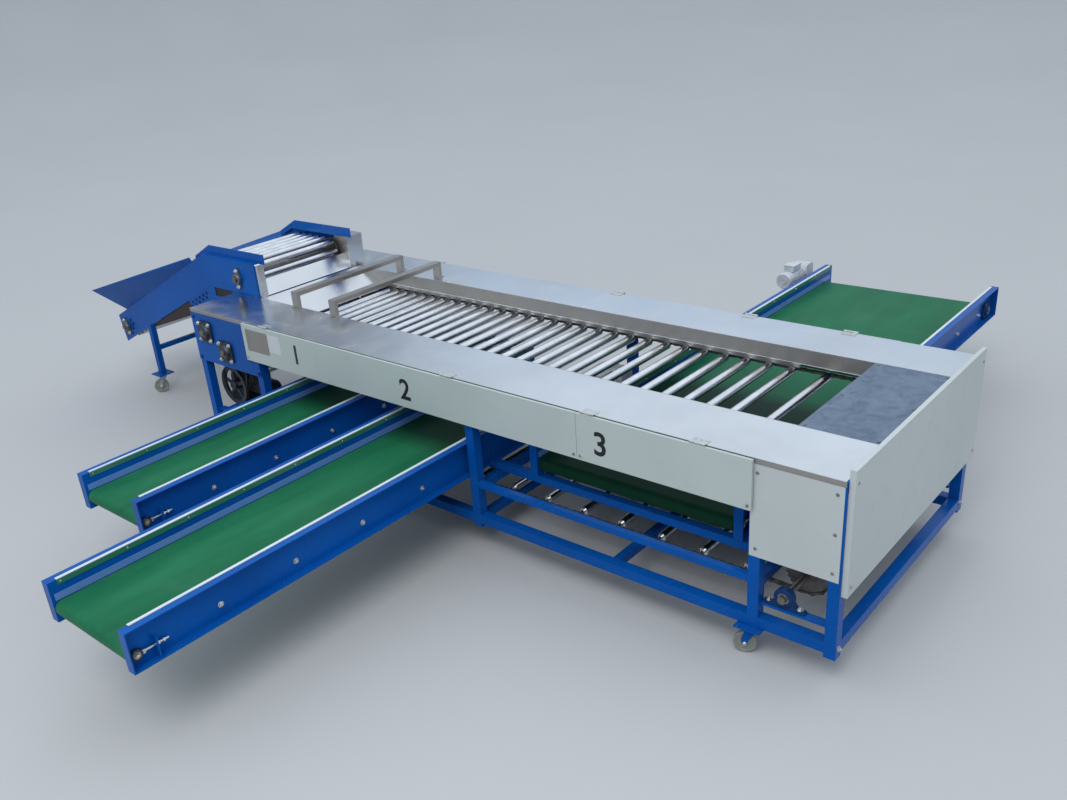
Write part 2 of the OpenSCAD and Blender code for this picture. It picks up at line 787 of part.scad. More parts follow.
// Shaft across the frame with its two chain sprockets; its ends are past the sides by over
module bed_shaft(x, z, over) {
  rod_y(x, z, -over, frame_w + over, shaft_d / 2);
  for (y = [near_chain_y, far_chain_y]) {
    sprocket(x, z, y, bed_r, bed_teeth, sprocket_t);
    rod_y(x, z, y - 14, y + 14, shaft_d / 2 + 12);
  }
}

module exit_upper_shaft() {
  color(DARK) bed_shaft(-exit_shaft, upper_z, -5);
}

module exit_lower_shaft() {
  color(DARK) bed_shaft(-exit_shaft, lower_z, -5);
}

module feed_lower_shaft() {
  color(DARK) bed_shaft(-feed_shaft, lower_z, -5);
}

module grooved_pulley(x, z, r) {
  difference() {
    rod_y(x, z, pulley_y - pulley_w / 2, pulley_y + pulley_w / 2, r);
    difference() {
      rod_y(x, z, pulley_y - groove_w / 2, pulley_y + groove_w / 2, r + 1);
      rod_y(x, z, pulley_y - groove_w / 2 - 1, pulley_y + groove_w / 2 + 1, r - groove_d);
    }
  }
}

module feed_upper_shaft() {
  color(DARK) {
    bed_shaft(-feed_shaft, upper_z, shaft_overhang);
    grooved_pulley(-feed_shaft, upper_z, small_pulley_r);
    sprocket(-feed_shaft, upper_z, link_y, link_r, link_teeth, small_sprocket_t);
  }
}

module lay_shaft() {
  color(DARK) {
    rod_y(lay_x, lay_z, -shaft_overhang, frame_w + shaft_overhang, shaft_d / 2);
    sprocket(lay_x, lay_z, link_y, link_r, link_teeth, small_sprocket_t);
    sprocket(lay_x, lay_z, lift_y, lift_lay_r, 12, small_sprocket_t);
  }
}

module drive_pulley() {
  color(DARK) {
    grooved_pulley(pulley_x, pulley_z, pulley_r);
    rod_y(pulley_x, pulley_z, pulley_y - pulley_w / 2 - 8, gearbox_y + 50, pulley_shaft_r);
  }
}

elevator_shaft_r = 17.5;
elevator_teeth = 20;
module elevator_shaft(x, z, y0, y1) {
  rod_y(x, z, y0, y1, elevator_shaft_r);
  for (y = [elevator_y0 + elevator_chain_inset, elevator_y1 - elevator_chain_inset])
    sprocket(x, z, y, elevator_r, elevator_teeth, elevator_sprocket_t);
}

module elevator_head_shaft() {
  color(DARK) {
    elevator_shaft(-head_shaft, head_z, elevator_y0 - elevator_t - 40, lift_y + 12);
    sprocket(-head_shaft, head_z, lift_y, lift_head_r, 14, small_sprocket_t);
  }
}

module elevator_tail_shaft() {
  color(DARK) elevator_shaft(tail_x, tail_z, elevator_y0 - elevator_t - 40,
                             elevator_y1 + elevator_t + 40);
}

// Closed loop outline of a belt or chain round two wheels, grown by g
function loop_points(c1, r1, c2, r2, g) =
  let (d = norm(c2 - c1), b = atan2(c2[1] - c1[1], c2[0] - c1[0]), a = acos((r1 - r2) / d))
  concat([for (i = [0 : 30]) c1 + (r1 + g) * [cos(b + a + i * (360 - 2 * a) / 30),
                                              sin(b + a + i * (360 - 2 * a) / 30)]],
         [for (i = [0 : 20]) c2 + (r2 + g) * [cos(b - a + i * 2 * a / 20),
                                              sin(b - a + i * 2 * a / 20)]]);

module belt_loop(c1, r1, c2, r2, h, y, w) {
  in_xz(y - w / 2, y + w / 2) difference() {
    polygon(loop_points(c1, r1, c2, r2, h));
    polygon(loop_points(c1, r1, c2, r2, 0));
  }
}

module drive_belts() {
  drive = [pulley_x, pulley_z];
  feed = [-feed_shaft, upper_z];
  lay = [lay_x, lay_z];
  head = [-head_shaft, head_z];
  gap = 0.8;
  tooth = 4.5;
  link_h = 6;
  link_w = 12;
  color(DARK) {
    belt_loop(drive, pulley_r - groove_d + gap, feed, small_pulley_r - groove_d + gap,
              10, pulley_y, groove_w - 1);
    belt_loop(feed, link_r + tooth, lay, link_r + tooth, link_h, link_y, link_w);
    belt_loop(head, lift_head_r + tooth, lay, lift_lay_r + tooth, link_h, lift_y, link_w);
  }
}

// Bearings and drives

// Pillow block with its axis at z, on a base of two bolted feet
pillow_h = 50;
pillow_l = 184;
pillow_w = 38;
pillow_r = 44;
pillow_foot = 15;
pillow_bolt = 68;
module pillow_block(x, y, z, r) {
  w = pillow_w / 2;
  difference() {
    union() {
      block([x - pillow_l / 2, y - w, z - pillow_h],
            [x + pillow_l / 2, y + w, z - pillow_h + pillow_foot]);
      rod_y(x, z, y - w, y + w, pillow_r);
      block([x - pillow_r, y - w, z - pillow_h], [x + pillow_r, y + w, z]);
    }
    rod_y(x, z, y - w - 1, y + w + 1, r + fit);
  }
}

// Square flange unit on the outer face of a plate at y
flange_side = 130;
flange_t = 13;
flange_bolt = 50;
housing_d = 32;
module flange_unit(x, z, y, r) {
  half = flange_side / 2;
  difference() {
    union() {
      block([x - half, y - flange_t, z - half], [x + half, y, z + half]);
      rod_y(x, z, y - housing_d, y, 46);
    }
    rod_y(x, z, y - housing_d - 1, y + 1, r + fit);
  }
}

// Oval flange unit with two bolts, the long way along the given angle
oval_bolt = 62;
oval_end_r = 24;
module oval_unit(x, z, y, r, angle) {
  difference() {
    union() {
      translate([x, y, z]) rotate([90, 0, 0]) rotate([0, 0, angle]) {
        translate([-oval_bolt, -oval_end_r, 0]) cube([2 * oval_bolt, 2 * oval_end_r, flange_t]);
        for (end = [-1, 1])
          translate([end * oval_bolt, 0, 0]) cylinder(h = flange_t, r = oval_end_r);
      }
      rod_y(x, z, y - housing_d, y, 42);
    }
    rod_y(x, z, y - housing_d - 1, y + 1, r + fit);
  }
}

// A piece of the near elevator side, and the same on the far side
module elevator_sides() {
  children();
  translate([0, elevator_y0 + elevator_y1, 0]) mirror([0, 1, 0]) children();
}

// Take-up bearing of a conveyor tail roller: block, threaded rod and nuts, outside the web
journal_r = 10;
web_face = flange - web_t;
takeup_r = 24;
takeup_rod_r = 6;
takeup_rod_l = 116;
module takeup(y) {
  translate([seat, y, drum_z]) {
    difference() {
      rod_x(0, 0, 0, takeup_r, takeup_r);
      rod_x(0, 0, -1, takeup_r + 1, journal_r + fit);
    }
    translate([takeup_r / 2, 0, 0]) rotate([-90, 0, 0]) {
      translate([0, 0, takeup_r - 2]) cylinder(h = takeup_rod_l, r = takeup_rod_r);
      for (d = [66, 88]) translate([0, 0, d]) cylinder(h = 10, r = 11, $fn = 6);
    }
  }
}

// Square bearing of a conveyor drive roller, on the outer face of the web
drive_bearing_side = 96;
module drive_bearing(y) {
  half = drive_bearing_side / 2;
  difference() {
    union() {
      block([0, y - half, drum_z - half], [12, y + half, drum_z + half]);
      rod_x(y, drum_z, 0, 28, 32);
    }
    rod_x(y, drum_z, -1, 30, journal_r + fit);
  }
}

// A piece on the outer face of both webs of a conveyor
module on_webs(c) {
  translate([c[1] - web_face, 0, 0]) children();
  translate([c[0] + web_face, 0, 0]) mirror([1, 0, 0]) children();
}

module bearings() {
  color(BLUE) {
    both_sides() {
      pillow_block(-exit_shaft, 40, lower_z, shaft_d / 2);
      pillow_block(-exit_shaft, 40, upper_z, shaft_d / 2);
      pillow_block(-feed_shaft, 40, lower_z, shaft_d / 2);
    }
  }
  color(DARK) {
    both_sides() {
      flange_unit(lay_x, lay_z, -side_plate_t, shaft_d / 2);
      flange_unit(-feed_shaft, upper_z, -side_plate_t, shaft_d / 2);
    }
    elevator_sides() {
      oval_unit(-head_shaft, head_z, elevator_y0 - elevator_t, elevator_shaft_r, 90);
      oval_unit(tail_x, tail_z, elevator_y0 - elevator_t, elevator_shaft_r, 90 + incline);
    }
    for (c = conveyors) on_webs(c) {
      takeup(tail_y(c));
      drive_bearing(drive_y(c));
    }
  }
}

// Worm gearbox beside a conveyor with its motor lying along the channel
motor_r = 58;
gearbox_w = 120;
gearbox_gap = 61;
motor_l = 240;
worm_z = channel_z + 158;
module conveyor_gearmotor(x, y) {
  half = gearbox_w / 2;
  mid = x + half;
  difference() {
    block([x, y - half, channel_z + 4], [x + gearbox_w, y + half, worm_z + half + 2]);
    rod_x(y, drum_z, x - 1, x + gearbox_w + 1, journal_r + fit);
  }
  rod_y(mid, worm_z, y - half - motor_l, y - half, motor_r);
  block([mid - 40, y - 220, worm_z + motor_r - 8], [mid + 40, y - 110, worm_z + motor_r + 32]);
}

// Gearbox and motor that drive the bed, behind the large pulley
module bed_gearmotor() {
  half = 70;
  difference() {
    block([pulley_x - half, gearbox_y, lower_z - pillow_h],
          [pulley_x + half, gearbox_y + gearbox_w, pulley_z + half]);
    rod_y(pulley_x, pulley_z, gearbox_y - 1, gearbox_y + gearbox_w / 2, pulley_shaft_r + fit);
  }
  rod_x(gearbox_y + 66, pulley_z, pulley_x + half, pulley_x + half + motor_l - 20, motor_r);
}

module gearmotors() {
  wide = conveyors[2];
  color(DARK) bed_gearmotor();
  color(CASTING) {
    for (c = [conveyors[0], conveyors[1]]) conveyor_gearmotor(c[1] + gearbox_gap, drive_y(c));
    conveyor_gearmotor(wide[0] - gearbox_gap - gearbox_w, drive_y(wide));
  }
}

// Elevator

module elevator_plates() {
  color(BLUE) elevator_sides() in_xz(elevator_y0 - elevator_t, elevator_y0) difference() {
    polygon([[-elevator_exit, frame_h], [-elevator_exit, frame_h + elevator_h],
             [-elevator_bend, frame_h + elevator_h], [nose_x, nose_z], [chin_x, chin_z],
             [knee_x, frame_h]]);
    translate([-head_shaft, head_z]) circle(r = elevator_shaft_r + 5);
    translate([tail_x, tail_z]) circle(r = elevator_shaft_r + 5);
  }
}

// Guard folded from one sheet: a ledge on the side plate and a band that stands at its inner
// edge, over the ends of the rollers
wing_x0 = -frame_l - 455;
band_y = elevator_y0 + band_inset;
ledge_z = frame_h + elevator_h + seat;
module guard_band() {
  kink_z = ridge_z(wing_x0) + seat;
  band_x = -elevator_exit + 65;
  in_xz(elevator_y0 - elevator_t, band_y + sheet_t)
    polygon([[-elevator_exit, ledge_z], [-elevator_exit, ledge_z + sheet_t],
             [-elevator_bend, ledge_z + sheet_t], [wing_x0, kink_z + sheet_t + seat],
             [wing_x0, kink_z], [-elevator_bend, ledge_z]]);
  in_xz(band_y, band_y + sheet_t)
    polygon([[band_x, ledge_z], [band_x, frame_h + elevator_h + band_h],
             [-elevator_bend + 45, frame_h + elevator_h + band_h - 2], [wing_x0, kink_z + 32],
             [wing_x0, kink_z], [-elevator_bend, ledge_z]]);
}

// Hopper wing: a sheet with one fold, from the sloping edge and the end of the guard out to
// its tip
wing_x1 = nose_x + 141;
wing_t = 2.5;
module hopper_wing() {
  y = elevator_y0 - 2;
  x0 = wing_x0 - 0.5;
  a = [x0, y, ridge_z(x0) + wing_t + seat];
  b = [wing_x1, y, ridge_z(wing_x1) + wing_t + seat];
  tip = [wing_x1 - 57, y - wing_flare, b[2] + wing_rise];
  c = [x0, y - 14, a[2] + 30];
  n = cross(b - a, tip - a);
  u = n / norm(n) * wing_t;
  low = u[2] < 0 ? u : -u;
  polyhedron([a, b, tip, c, a + low, b + low, tip + low, c + low],
             [[2, 1, 0], [3, 2, 0], [4, 5, 6], [4, 6, 7], [5, 4, 0, 1], [6, 5, 1, 2],
              [7, 6, 2, 3], [4, 7, 3, 0]]);
}

module elevator_guards() {
  color(BLUE) elevator_sides() {
    guard_band();
    hopper_wing();
  }
}

// Tray that catches leaves and stems under the elevator rollers
tray_x0 = -leg_x + 11;
module elevator_tray() {
  x0 = tray_x0;
  x1 = -frame_l - 10;
  z0 = under_z(x0) - 24;
  z1 = frame_h - tray_d;
  t = 2;
  rise = (z1 - z0) / (x1 - x0);
  over = 10;
  color(BROWN) difference() {
    in_xz(elevator_y0, elevator_y1)
      polygon([[x0, z0], [x1, z1], [x1, frame_h - 5], [knee_x, frame_h + 4], [x0, z0 + 20]]);
    in_xz(elevator_y0 + t, elevator_y1 - t)
      polygon([[x0 - over, z0 + t - over * rise], [x1 + over, z1 + t + over * rise],
               [x1 + over, frame_h + over], [x0 - over, frame_h + over]]);
  }
}

// Plate below the elevator side plate that carries it on the end of the frame
bracket_x0 = -frame_l - 591;
bracket_x1 = -frame_l - 246;
bracket_drop = 68;
bracket_arm = 57;
module elevator_bracket() {
  x0 = bracket_x0;
  low = frame_h - bracket_arm - 45;
  arm_x = -frame_l - 45;
  in_xz(elevator_y0 - elevator_t, elevator_y0)
    polygon([[x0, under_z(x0) - seat], [knee_x, frame_h - seat], [bracket_x1, frame_h - seat],
             [bracket_x1, frame_h - bracket_arm], [arm_x, frame_h - bracket_arm],
             [arm_x, frame_h - seat], [-frame_l, frame_h - seat], [-frame_l, low], [bracket_x1, low], [x0 + 33, under_z(x0 + 33) - bracket_drop]]);
}

leg_y = elevator_y0 - 30;
leg_side = 40;
leg_tie_z = 190;
leg_tie_side = 30;
// Leg cut off along the lower edge of the side plate
module elevator_leg() {
  x0 = -leg_x - leg_side;
  a = x0 - 50;
  b = x0 + 90;
  difference() {
    tube_z(caster_top, under_z(x0 + leg_side) + 30, x0, leg_y, leg_side);
    in_xz(leg_y - 5, leg_y + leg_side + 5)
      polygon([[a, under_z(a) - seat], [b, under_z(b) - seat], [b, top_z], [a, top_z]]);
  }
}

module elevator_legs() {
  color(BLUE) {
    elevator_sides() {
      elevator_leg();
      elevator_bracket();
    }
    tube_y(leg_y + leg_side, elevator_y0 + elevator_y1 - leg_y - leg_side,
           -leg_x - leg_side, leg_tie_z, leg_tie_side);
  }
}

// Conveyors: [feed side x, exit side x, near end y, far end y]; the tail end is the near one
conveyors = [
  [-conveyor1_x, -conveyor1_x + conveyor1_w, -conveyor1_reach, inner_end],
  [-conveyor2_x, -conveyor2_x + conveyor2_w, -conveyor2_reach, inner_end],
  [-conveyor3_x, -conveyor3_x + conveyor3_w, conveyor3_start, conveyor3_end]];

function tail_y(c) = c[2] + tail_setback;
function drive_y(c) = c[3] - drive_setback;

// Channel on the feed side of a conveyor: web inside, flanges outward, closed ends, a slot for
// the tail roller, a hole for the drive roller and a gusset that holds the take-up rod
module channel(y0, y1, tail, drive) {
  z0 = channel_z;
  z1 = channel_z + channel_h;
  gusset_y = tail + 78;
  gusset_t = 6;
  difference() {
    union() {
      block([web_face, y0, z0], [flange, y1, z1]);
      block([0, y0, z0], [flange, y1, z0 + web_t]);
      block([0, y0, z1 - web_t], [flange, y1, z1]);
      for (y = [y0, y1 - web_t]) block([0, y, z0], [flange, y + web_t, z1]);
    }
    translate([web_face - 1, tail - 14, drum_z - 14]) cube([web_t + 2, 40, 28]);
    rod_x(drive, drum_z, web_face - 1, flange + 1, journal_r + 4);
  }
  difference() {
    block([5, gusset_y, z0 + web_t], [web_face, gusset_y + gusset_t, drum_z + 40]);
    rod_y(web_face - takeup_r / 2 - seat, drum_z, gusset_y - 1, gusset_y + gusset_t + 1,
          takeup_rod_r + 1);
  }
}

// A piece of the feed side channel, and the same on the exit side
module in_channels(c) {
  translate([c[0], 0, 0]) children();
  translate([c[1], 0, 0]) mirror([1, 0, 0]) children();
}

module conveyor_frame(c) {
  color(BLUE) in_channels(c) channel(c[2], c[3], tail_y(c), drive_y(c));
}

// Sheet that the belt slides on, with three ties below it
module conveyor_beds() {
  z0 = belt_z - belt_t - 4;
  color(STAINLESS) for (c = conveyors) {
    x0 = c[0] + flange;
    x1 = c[1] - flange;
    y0 = tail_y(c) + drum_r + 12;
    y1 = drive_y(c) - drum_r - 12;
    block([x0, y0, z0], [x1, y1, belt_z - belt_t - seat]);
    for (y = [y0 + 60, (y0 + y1) / 2, y1 - 100]) block([x0, y, z0 - 30], [x1, y + bearer, z0]);
  }
}

belt_gap = 6;
module conveyor_belts() {
  color(GREEN) for (c = conveyors) {
    a = [tail_y(c), drum_z];
    b = [drive_y(c), drum_z];
    r = drum_r + seat;
    translate([c[0] + flange + belt_gap, 0, 0]) rotate([90, 0, 90])
      linear_extrude(c[1] - c[0] - 2 * flange - 2 * belt_gap) difference() {
        polygon(loop_points(a, r, b, r, belt_t - seat));
        polygon(loop_points(a, r, b, r, 0));
      }
  }
}

// Skirts on the inner face of a channel, and the bright bar along its top edge
module skirt(y0, y1) {
  z1 = channel_z + channel_h;
  end = y1 - 30;
  in = flange + sheet_t;
  block([flange, y0 + 40, z1 - 24], [in, end, z1]);
  block([flange, y0 + 15, belt_z + 2], [in, end, z1 - 58]);
  block([flange - 12, y0 + 40, z1], [in, end, z1 + 4]);
}

module conveyor_skirts() {
  color(GREEN) for (c = conveyors) in_channels(c) skirt(c[2], c[3]);
}

// Roller between the channels; its journals are past the webs by reach, feed side first
module conveyor_roller(c, y, reach) {
  x0 = c[0] + flange + belt_gap;
  x1 = c[1] - flange - belt_gap;
  color(DARK) {
    rod_x(y, drum_z, x0, x1, drum_r);
    rod_x(y, drum_z, c[0] + web_face - reach[0], c[1] - web_face + reach[1], journal_r);
  }
}

tail_reach = [26, 26];
bearing_reach = 32;
gearbox_reach = 150 + flange;
motor_feed_side = [gearbox_reach, bearing_reach];
motor_exit_side = [bearing_reach, gearbox_reach];

module conveyor1_drive_roller() {
  conveyor_roller(conveyors[0], drive_y(conveyors[0]), motor_exit_side);
}
module conveyor1_tail_roller() {
  conveyor_roller(conveyors[0], tail_y(conveyors[0]), tail_reach);
}
module conveyor2_drive_roller() {
  conveyor_roller(conveyors[1], drive_y(conveyors[1]), motor_exit_side);
}
module conveyor2_tail_roller() {
  conveyor_roller(conveyors[1], tail_y(conveyors[1]), tail_reach);
}
module conveyor3_drive_roller() {
  conveyor_roller(conveyors[2], drive_y(conveyors[2]), motor_feed_side);
}
module conveyor3_tail_roller() {
  conveyor_roller(conveyors[2], tail_y(conveyors[2]), tail_reach);
}

module conveyor1_frame() { conveyor_frame(conveyors[0]); }
module conveyor2_frame() { conveyor_frame(conveyors[1]); }
module conveyor3_frame() { conveyor_frame(conveyors[2]); }

// Hinged guard panels

hinge_y = -12;
hinge_z = top_z + 3;
knuckle_gap = 0.4;
feed_hinges = [-guard_feed + 201, -guard_seam - 780];
exit_hinges = [-guard_seam + 59, -guard_exit - 246];
guard_y1 = -side_plate_t - 1;
guard_y0 = guard_y1 - guard_d;

// Panel between x0 and x1 with folded edges, and its share of each hinge
module guard_panel(x0, x1, hinges) {
  y0 = guard_y0;
  y1 = guard_y1;
  z1 = frame_h - 2;
  z0 = z1 - guard_h;
  a = x0 + 1;
  b = x1 - 1;
  block([a, y0, z0], [b, y0 + guard_t, z1]);
  block([a, y0, z1 - guard_t], [b, y1, z1]);
  block([a, y0, z0], [b, y1, z0 + guard_t]);
  block([a, y0, z0], [a + guard_t, y1, z1]);
  block([b - guard_t, y0, z0], [b, y1, z1]);
  for (x = hinges) {
    block([x - hinge_w / 2, y0, z1], [x + hinge_w / 2, -6, z1 + 2]);
    difference() {
      union() {
        block([x - hinge_w / 6 + knuckle_gap, hinge_y - 1, z1],
              [x + hinge_w / 6 - knuckle_gap, hinge_y + 1, hinge_z]);
        rod_x(hinge_y, hinge_z, x - hinge_w / 6 + knuckle_gap, x + hinge_w / 6 - knuckle_gap,
              knuckle_r);
      }
      rod_x(hinge_y, hinge_z, x - hinge_w / 2, x + hinge_w / 2, pin_r + fit);
    }
  }
  for (x = [x0 + 25, x1 - 25])
    translate([x, y0, z0 + 20]) rotate([90, 0, 0]) cylinder(h = 3, r = 7);
}

module guard_near_feed() {
  color(PANEL) guard_panel(-guard_feed, -guard_seam, feed_hinges);
}
module guard_near_exit() {
  color(PANEL) guard_panel(-guard_seam, -guard_exit, exit_hinges);
}
module guard_far_feed() {
  color(PANEL) far_side() guard_panel(-guard_feed, -guard_seam, feed_hinges);
}
module guard_far_exit() {
  color(PANEL) far_side() guard_panel(-guard_seam, -guard_exit, exit_hinges);
}

// Fixed leaf of a hinge, with two knuckles and the pin
module hinge_leaf(x) {
  w = hinge_w / 2;
  block([x - w, -5, top_z], [x + w, 32, top_z + 2]);
  for (side = [-1, 1]) {
    x0 = side < 0 ? x - w : x + w / 3;
    block([x0, hinge_y, top_z], [x0 + 2 * w / 3, -5, top_z + 2]);
    rod_x(hinge_y, hinge_z, x0, x0 + 2 * w / 3, knuckle_r);
  }
  rod_x(hinge_y, hinge_z, x - w, x + w, pin_r);
}

module hinges() {
  color(CHROME) both_sides() for (x = concat(feed_hinges, exit_hinges)) hinge_leaf(x);
}

// Fasteners

module screw_y(x, z, y, r) {
  translate([x, y, z]) rotate([90, 0, 0]) cylinder(h = r * 0.5, r = r);
}

module hex_y(x, z, y, r) {
  translate([x, y, z]) rotate([90, 0, 0]) cylinder(h = r * 0.7, r = r, $fn = 6);
}

module screw_z(x, y, z, r) {
  translate([x, y, z]) cylinder(h = r * 0.5, r = r);
}

// Bolt heads and screws on the near side of the frame
module side_fasteners() {
  for (c = [[lay_x, lay_z], [-feed_shaft, upper_z]], dx = [-1, 1], dz = [-1, 1])
    hex_y(c[0] + dx * flange_bolt, c[1] + dz * flange_bolt, -side_plate_t - flange_t, 11);
  for (z = [corner_z1 - 38, corner_z0 + 37], x = [-exit_post - 20, -35]) screw_y(x, z, -2, 6);
  for (x = [25 - frame_l, -feed_post - 20], z = [side_plate_z + 20, frame_h - lip - 27])
    hex_y(x, z, -side_plate_t, 9);
  for (s = [-exit_shaft, -feed_shaft], dx = [-pillow_bolt, pillow_bolt])
    translate([s + dx, rail_y + rail_w / 2, lower_z - pillow_h + pillow_foot])
      cylinder(h = 10, r = 11, $fn = 6);
  for (x = concat(feed_hinges, exit_hinges), dx = [-26, 0, 26])
    screw_z(x + dx, 20, top_z + 2, 4);
}

module bracket_bolts() {
  for (x = [bracket_x0 + 56 : 45 : knee_x - 20])
    hex_y(x, under_z(x) - bracket_drop / 2, elevator_y0 - elevator_t, 8);
}

module cover_screws() {
  for (y = [near_sheet_w + 20, middle_y, far_sheet_y - 20], x = [cover_x + 20, -35])
    screw_z(x, y, top_z, 6);
}

module oval_bolts(x, z, angle) {
  for (d = [-oval_bolt, oval_bolt])
    hex_y(x + d * cos(angle), z + d * sin(angle), elevator_y0 - elevator_t - flange_t, 11);
}

module end_fasteners() {
  for (y = [35, frame_w - 31], z = [end_panel_z + 40, end_panel_z + end_panel_h - 60])
    translate([end_panel_d, y, z]) rotate([0, 90, 0]) cylinder(h = 3, r = 7);
  for (y = [25, frame_w - 25])
    translate([0, y, bottom_rail_z + 25]) rotate([0, 90, 0]) cylinder(h = 9, r = 12, $fn = 6);
}

// Bolts along the webs of a conveyor
web_bolt_start = 421;
web_bolt_pitch = 381;
module web_bolts(c) {
  n = floor((c[3] - c[2] - 600) / web_bolt_pitch);
  for (k = [0 : n]) translate([0, c[2] + web_bolt_start + web_bolt_pitch * k, drum_z])
    rotate([0, 90, 0]) cylinder(h = 8, r = 11, $fn = 6);
}

module fasteners() {
  color(CHROME) {
    both_sides() side_fasteners();
    bracket_bolts();
    cover_screws();
    elevator_sides() {
      oval_bolts(-head_shaft, head_z, 90);
      oval_bolts(tail_x, tail_z, 90 + incline);
    }
    end_fasteners();
    for (c = conveyors) on_webs(c) web_bolts(c);
  }
}

// Casters: [x, y, trail angle]
caster_y = tube / 2;
exit_caster_x = -exit_post - tube / 2 - 9;
feed_caster_x = -frame_l + tube / 2;
leg_caster_x = -leg_x - leg_side / 2;
leg_caster_y = leg_y + leg_side / 2;
far_leg_y = elevator_y0 + elevator_y1 - leg_caster_y;
casters = [
  [exit_caster_x, caster_y, 200], [exit_caster_x, frame_w - caster_y, 160],
  [feed_caster_x, caster_y, 180], [feed_caster_x, frame_w - caster_y, 180],
  [leg_caster_x, leg_caster_y, 235], [leg_caster_x, far_leg_y, 160]];
kingpin_r = 6;
crown_h = 9;
axle_r = 5;
axle_z = wheel_d / 2 - foot_h;

module caster_plates() {
  color(BLUE) for (c = casters) translate([c[0], c[1], 0]) {
    half = caster_plate / 2;
    difference() {
      block([-half, -half, caster_top - caster_plate_t], [half, half, caster_top]);
      for (x = [-1, 1], y = [-1, 1])
        translate([x * plate_hole_span / 2, y * plate_hole_span / 2, 0])
          cylinder(h = 2 * caster_top, r = plate_hole_r);
    }
    translate([0, 0, -seat]) cylinder(h = caster_top - caster_plate_t + seat, r = kingpin_r);
    translate([0, 0, -seat - 6]) cylinder(h = 6, r = 10);
  }
}

// Fork in its own frame: pivot on the z axis, wheel behind it along +x
module fork() {
  inner = wheel_w / 2 + 2;
  difference() {
    cylinder(h = crown_h - seat, r = 32);
    translate([0, 0, -1]) cylinder(h = crown_h + 2, r = kingpin_r + fit);
  }
  for (y = [-inner - 4, inner]) in_xz(y, y + 4)
    polygon([[-24, 1], [24, 1], [trail + 16, axle_z + 6], [trail + 10, axle_z - 12],
             [trail - 10, axle_z - 12], [trail - 16, axle_z + 6]]);
  rod_y(trail, axle_z, -inner - 8, inner + 8, axle_r);
}

module wheel() {
  difference() {
    rod_y(trail, axle_z, -wheel_w / 2, wheel_w / 2, wheel_d / 2);
    rod_y(trail, axle_z, -wheel_w, wheel_w, axle_r + fit);
  }
}

module at_caster(i) {
  translate([casters[i][0], casters[i][1], 0]) rotate([0, 0, casters[i][2]]) children();
}

module fork_exit_near() { color(BLUE) at_caster(0) fork(); }
module fork_exit_far() { color(BLUE) at_caster(1) fork(); }
module fork_feed_near() { color(BLUE) at_caster(2) fork(); }
module fork_feed_far() { color(BLUE) at_caster(3) fork(); }
module fork_elevator_near() { color(BLUE) at_caster(4) fork(); }
module fork_elevator_far() { color(BLUE) at_caster(5) fork(); }
module wheel_exit_near() { color(DARK) at_caster(0) wheel(); }
module wheel_exit_far() { color(DARK) at_caster(1) wheel(); }
module wheel_feed_near() { color(DARK) at_caster(2) wheel(); }
module wheel_feed_far() { color(DARK) at_caster(3) wheel(); }
module wheel_elevator_near() { color(DARK) at_caster(4) wheel(); }
module wheel_elevator_far() { color(DARK) at_caster(5) wheel(); }

place() {
  frame_posts();
  frame_long_rails();
  frame_cross_rails();
  bearing_plates();
  top_sheets();
  cover_plate();
  end_panel();
  corner_panels();
  side_guards();
  crossbars();
  feed_plates();
  roller_chains();
  bed_rollers();
  fasteners();
  hinges();
  bearings();
  gearmotors();
  drive_belts();
  elevator_plates();
  elevator_guards();
  elevator_tray();
  elevator_rollers();
  elevator_legs();
  conveyor1_frame();
  conveyor2_frame();
  conveyor3_frame();
  conveyor_beds();
  conveyor_belts();
  conveyor_skirts();
  caster_plates();
  guard_near_feed();
  guard_near_exit();
  guard_far_feed();
  guard_far_exit();
  exit_upper_shaft();
  exit_lower_shaft();
  feed_upper_shaft();
  feed_lower_shaft();
  lay_shaft();
  elevator_head_shaft();
  elevator_tail_shaft();
  drive_pulley();
  conveyor1_drive_roller();
  conveyor1_tail_roller();
  conveyor2_drive_roller();
  conveyor2_tail_roller();
  conveyor3_drive_roller();
  conveyor3_tail_roller();
  fork_exit_near();
  fork_exit_far();
  fork_feed_near();
  fork_feed_far();
  fork_elevator_near();
  fork_elevator_far();
  wheel_exit_near();
  wheel_exit_far();
  wheel_feed_near();
  wheel_feed_far();
  wheel_elevator_near();
  wheel_elevator_far();
}
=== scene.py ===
"""Looks of the fruit grading machine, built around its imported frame."""

import json
import math

import bmesh
import bpy
from mathutils import Matrix, Vector


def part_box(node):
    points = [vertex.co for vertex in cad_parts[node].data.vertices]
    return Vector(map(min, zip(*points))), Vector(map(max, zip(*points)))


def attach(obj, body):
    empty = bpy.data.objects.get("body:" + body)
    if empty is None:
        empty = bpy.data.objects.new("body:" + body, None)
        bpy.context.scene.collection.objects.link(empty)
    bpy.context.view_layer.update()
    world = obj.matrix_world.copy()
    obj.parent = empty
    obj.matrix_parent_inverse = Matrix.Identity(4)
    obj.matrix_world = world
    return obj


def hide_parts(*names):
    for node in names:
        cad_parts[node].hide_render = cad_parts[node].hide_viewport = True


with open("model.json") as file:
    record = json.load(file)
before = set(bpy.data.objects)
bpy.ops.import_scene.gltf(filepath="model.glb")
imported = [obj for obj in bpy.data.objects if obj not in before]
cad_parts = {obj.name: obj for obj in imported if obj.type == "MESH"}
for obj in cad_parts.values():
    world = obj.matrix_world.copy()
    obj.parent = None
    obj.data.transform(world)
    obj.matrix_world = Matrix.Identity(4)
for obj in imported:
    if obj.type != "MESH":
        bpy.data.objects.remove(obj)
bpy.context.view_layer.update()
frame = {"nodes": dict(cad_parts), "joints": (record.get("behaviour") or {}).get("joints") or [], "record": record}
MM = 0.001

